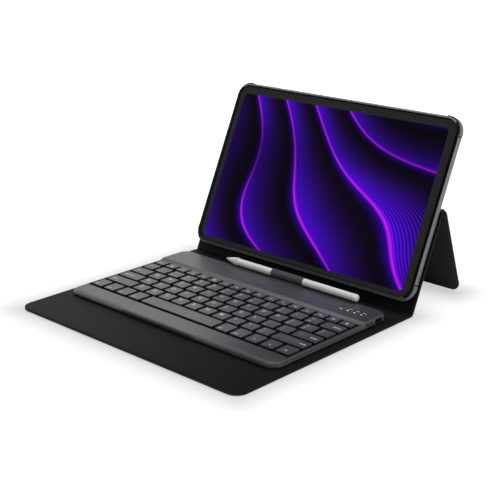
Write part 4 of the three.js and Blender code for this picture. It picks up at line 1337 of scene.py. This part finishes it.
NIB_END = 2.4
cone = tip_high.x - tip_low.x
nib = [(0.0, 0.25), (0.12, 0.55), (0.5, 0.78), (2.2, 0.98), (2.35, 1.25), (2.6, 1.36)]
taper = [(0.4, 2.25), (0.6, 2.92), (0.78, 3.42), (0.9, 3.68), (0.97, 3.78)]
profile = nib + [(cone * share, radius) for share, radius in taper] + [(cone - 0.04, 3.80)]
build("pen_point", Shape().lathe(profile, (tip_low.x, PEN_Y, PEN_Z)), ROW, "stylus", "pen_plastic", PEN, NIB,
      node="stylus_tip", choose=lambda p, n: int(p.x < tip_low.x + NIB_END), angle=45)
length = barrel_high.x - barrel_low.x
profile = [(0.0, PEN_R - 0.12), (0.12, PEN_R)] + [(length * k / 12, PEN_R) for k in range(1, 12)]
profile += [(length - 0.12, PEN_R), (length, PEN_R - 0.12)]
build("pen_barrel", Shape().lathe(profile, (barrel_low.x, PEN_Y, PEN_Z)), ROW, "stylus", "pen_plastic", PEN,
      node="stylus_barrel", weighted=False)
profile = [(cap_low.x, PEN_R - 0.25), (cap_low.x + 0.02, PEN_R - 0.1), (cap_low.x + 0.15, PEN_R)]
profile += [(cap_high.x - back, PEN_R * share) for back, share in (
    (1.5, 1.0), (0.9, 0.97), (0.45, 0.88), (0.15, 0.72), (0.02, 0.5), (0.0, 0.2))]
build("pen_end_cap", Shape().lathe(profile, (0, PEN_Y, PEN_Z)), ROW, "stylus", "pen_plastic", PEN,
      node="stylus_cap")

loop_low, loop_high = box_mm("pen_loop")
inner_r, outer_r = PEN_R + 0.06, loop_high.z - PEN_Z
loop_length = loop_high.x - loop_low.x
hem = [(0.0, -0.06), (0.3, 0.0), (1.2, 0.0), (1.6, -0.07), (2.0, 0.0), (8, 0.04)]  # with its pressed seam
sleeve = hem + [(loop_length / 2, 0.06)] + [(loop_length - t, swell) for t, swell in reversed(hem)]
sleeve = [(t, outer_r + swell) for t, swell in sleeve] + [(loop_length, inner_r), (0.0, inner_r)]
rings = [[(loop_low.x + t, PEN_Y + radius * math.cos(a), PEN_Z + radius * math.sin(a))
          for a in (2 * math.pi * i / 56 for i in range(56))] for t, radius in sleeve]
build("pen_loop_sleeve", Shape().loft(rings + rings[:1], caps=False), ROW, "keyboard", "loop_elastic", LOOP,
      node="pen_loop", angle=50)
tab_top, tab_rear = loop_low.z + 0.5, PEN_Y - 2.4
tab_levels = round_up(loop_low.z, 0.12, 2) + round_over(tab_top, 0.2, 3)
tab_levels += [(tab_top, 0.7), (tab_top - 0.07, 0.85), (tab_top - 0.07, 1.0), (tab_top, 1.15), (tab_top, 1.8)]
tab = Shape().stack(loop_length, tab_rear - loop_low.y, 0.8, tab_levels,
                    x=(loop_low.x + loop_high.x) / 2, y=(loop_low.y + tab_rear) / 2, segments=4)
build("pen_loop_tab", tab, ROW, "keyboard", "loop_elastic", LOOP)


# ------------------------------------------------------------------ floor, light and camera

def white_floor():
    """A white sweep that dims in a soft band round the case's feet, a painted shadow, and gives little light
    back.
    """
    reach, z = 6, -0.0003
    corners = [(-reach, -reach, z), (reach, -reach, z), (reach, reach, z), (-reach, reach, z)]
    floor_mesh = bpy.data.meshes.new("floor")
    floor_mesh.from_pydata(corners, [], [(0, 1, 2, 3)])
    floor = bpy.data.objects.new("floor", floor_mesh)
    bpy.context.scene.collection.objects.link(floor)
    look = Look("floor_white", roughness=0.95, specular=0.0)
    look.colour((0.86, 0.86, 0.86))
    split = look.node("ShaderNodeSeparateXYZ", Vector=look.place)

    def distance_from(x_half, y_low, y_high):
        """Distance from a rectangle on the floor, in metres."""
        off_x = look.maths("SUBTRACT", look.maths("ABSOLUTE", split.outputs[0]), x_half)
        off_y = look.maths("ABSOLUTE", look.maths("SUBTRACT", split.outputs[1], (y_low + y_high) / 2))
        off_y = look.maths("SUBTRACT", off_y, (y_high - y_low) / 2)
        squares = [look.maths("POWER", look.maths("MAXIMUM", off, 0.0), 2.0) for off in (off_x, off_y)]
        return look.maths("SQRT", look.maths("ADD", *squares))

    # painted shadow: to the camera the floor darkens near the base and the flap's foot, by distance from them
    foot, foot_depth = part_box("stand_flap_outer_skin")[1].y, 0.008
    away = look.maths("MINIMUM", distance_from(COVER_WIDTH / 2 * MM, base_low.y * MM, AT_REAR.y),
                      distance_from(STAND_WIDTH / 2 * MM, foot - foot_depth, foot))
    fall = look.maths("POWER", look.maths("DIVIDE", away, 0.021), 1.5)
    dim = look.maths("EXPONENT", look.maths("MULTIPLY", fall, -1.0))
    bright = look.between(dim, 0.0, 1.0, 1.0, 0.68)
    far = look.between(away, 0.2, 0.6, 0.0, 0.5)
    seen_floor = look.nodes.new("ShaderNodeEmission")
    strength = look.maths("ADD", look.maths("MULTIPLY", bright, 0.80), far)
    look.plug(strength, seen_floor.inputs["Strength"])
    seen_diffuse = look.nodes.new("ShaderNodeBsdfDiffuse")
    look.links.new(look.mix(dim, (0.21, 0.21, 0.21), (0.14, 0.14, 0.14)), seen_diffuse.inputs["Color"])
    both, swap = look.nodes.new("ShaderNodeAddShader"), look.nodes.new("ShaderNodeMixShader")
    look.links.new(seen_floor.outputs[0], both.inputs[0])
    look.links.new(seen_diffuse.outputs[0], both.inputs[1])
    look.links.new(look.nodes.new("ShaderNodeLightPath").outputs["Is Camera Ray"], swap.inputs[0])
    look.links.new(look.shader.outputs[0], swap.inputs[1])
    look.links.new(both.outputs[0], swap.inputs[2])
    surface = next(n for n in look.nodes if n.type == "OUTPUT_MATERIAL")
    look.links.new(swap.outputs[0], surface.inputs["Surface"])
    floor_mesh.materials.append(look.material)


def surroundings():
    """White to the camera; as light, brightest from behind and above."""
    world = bpy.data.worlds.new("studio")
    bpy.context.scene.world = world
    world.use_nodes = True
    nodes, links = world.node_tree.nodes, world.node_tree.links
    nodes.clear()
    seen, lit = nodes.new("ShaderNodeBackground"), nodes.new("ShaderNodeBackground")
    for background in (seen, lit):
        background.inputs["Color"].default_value = (1, 1, 1, 1)
    seen.inputs["Strength"].default_value = 1.0
    mix = nodes.new("ShaderNodeMixShader")
    links.new(nodes.new("ShaderNodeLightPath").outputs["Is Camera Ray"], mix.inputs[0])
    links.new(lit.outputs[0], mix.inputs[1])
    links.new(seen.outputs[0], mix.inputs[2])
    links.new(mix.outputs[0], nodes.new("ShaderNodeOutputWorld").inputs[0])
    toward = nodes.new("ShaderNodeVectorMath")
    toward.operation = "DOT_PRODUCT"
    links.new(nodes.new("ShaderNodeTexCoord").outputs["Generated"], toward.inputs[0])
    toward.inputs[1].default_value = Vector((-0.10, 0.80, 0.60)).normalized()
    ramp = nodes.new("ShaderNodeMapRange")
    links.new(toward.outputs["Value"], ramp.inputs["Value"])
    for key, value in (("From Min", -0.35), ("From Max", 0.45), ("To Min", 0.32), ("To Max", 1.0)):
        ramp.inputs[key].default_value = value
    links.new(ramp.outputs[0], lit.inputs["Strength"])


def lamp(name, where, aim, size, power):
    data = bpy.data.lights.new(name, "AREA")
    data.shape, data.size, data.energy = "SQUARE", size, power
    made = bpy.data.objects.new(name, data)
    made.location = where
    made.rotation_euler = (Vector(aim) - Vector(where)).to_track_quat("-Z", "Y").to_euler()
    bpy.context.scene.collection.objects.link(made)


def camera_view():
    lens = bpy.data.cameras.new("camera")
    lens.lens, lens.sensor_width = 83.66, 36.0
    lens.clip_start, lens.clip_end = 0.01, 50
    eye_point = bpy.data.objects.new("camera", lens)
    azimuth, elevation = math.radians(43.21), math.radians(18.15)
    back = Vector((math.sin(azimuth) * math.cos(elevation), -math.cos(azimuth) * math.cos(elevation),
                   math.sin(elevation)))
    eye_point.location = (0.63801, -0.64032, 0.35863)
    eye_point.rotation_mode = "QUATERNION"
    eye_point.rotation_quaternion = (-back).to_track_quat("-Z", "Y")
    bpy.context.scene.collection.objects.link(eye_point)
    bpy.context.scene.camera = eye_point
    bpy.context.scene.view_settings.view_transform = "Standard"


white_floor()
surroundings()
lamp("overhead", (-0.15, 0.35, 1.5), (0, 0.02, 0), 1.5, 16)
lamp("front_right", (0.5, -1.0, 0.9), (0, 0.0, 0.05), 1.0, 5)
lamp("right_side", (1.5, 0.25, 0.65), (0.1, 0.05, 0.05), 0.8, 9)
camera_view()
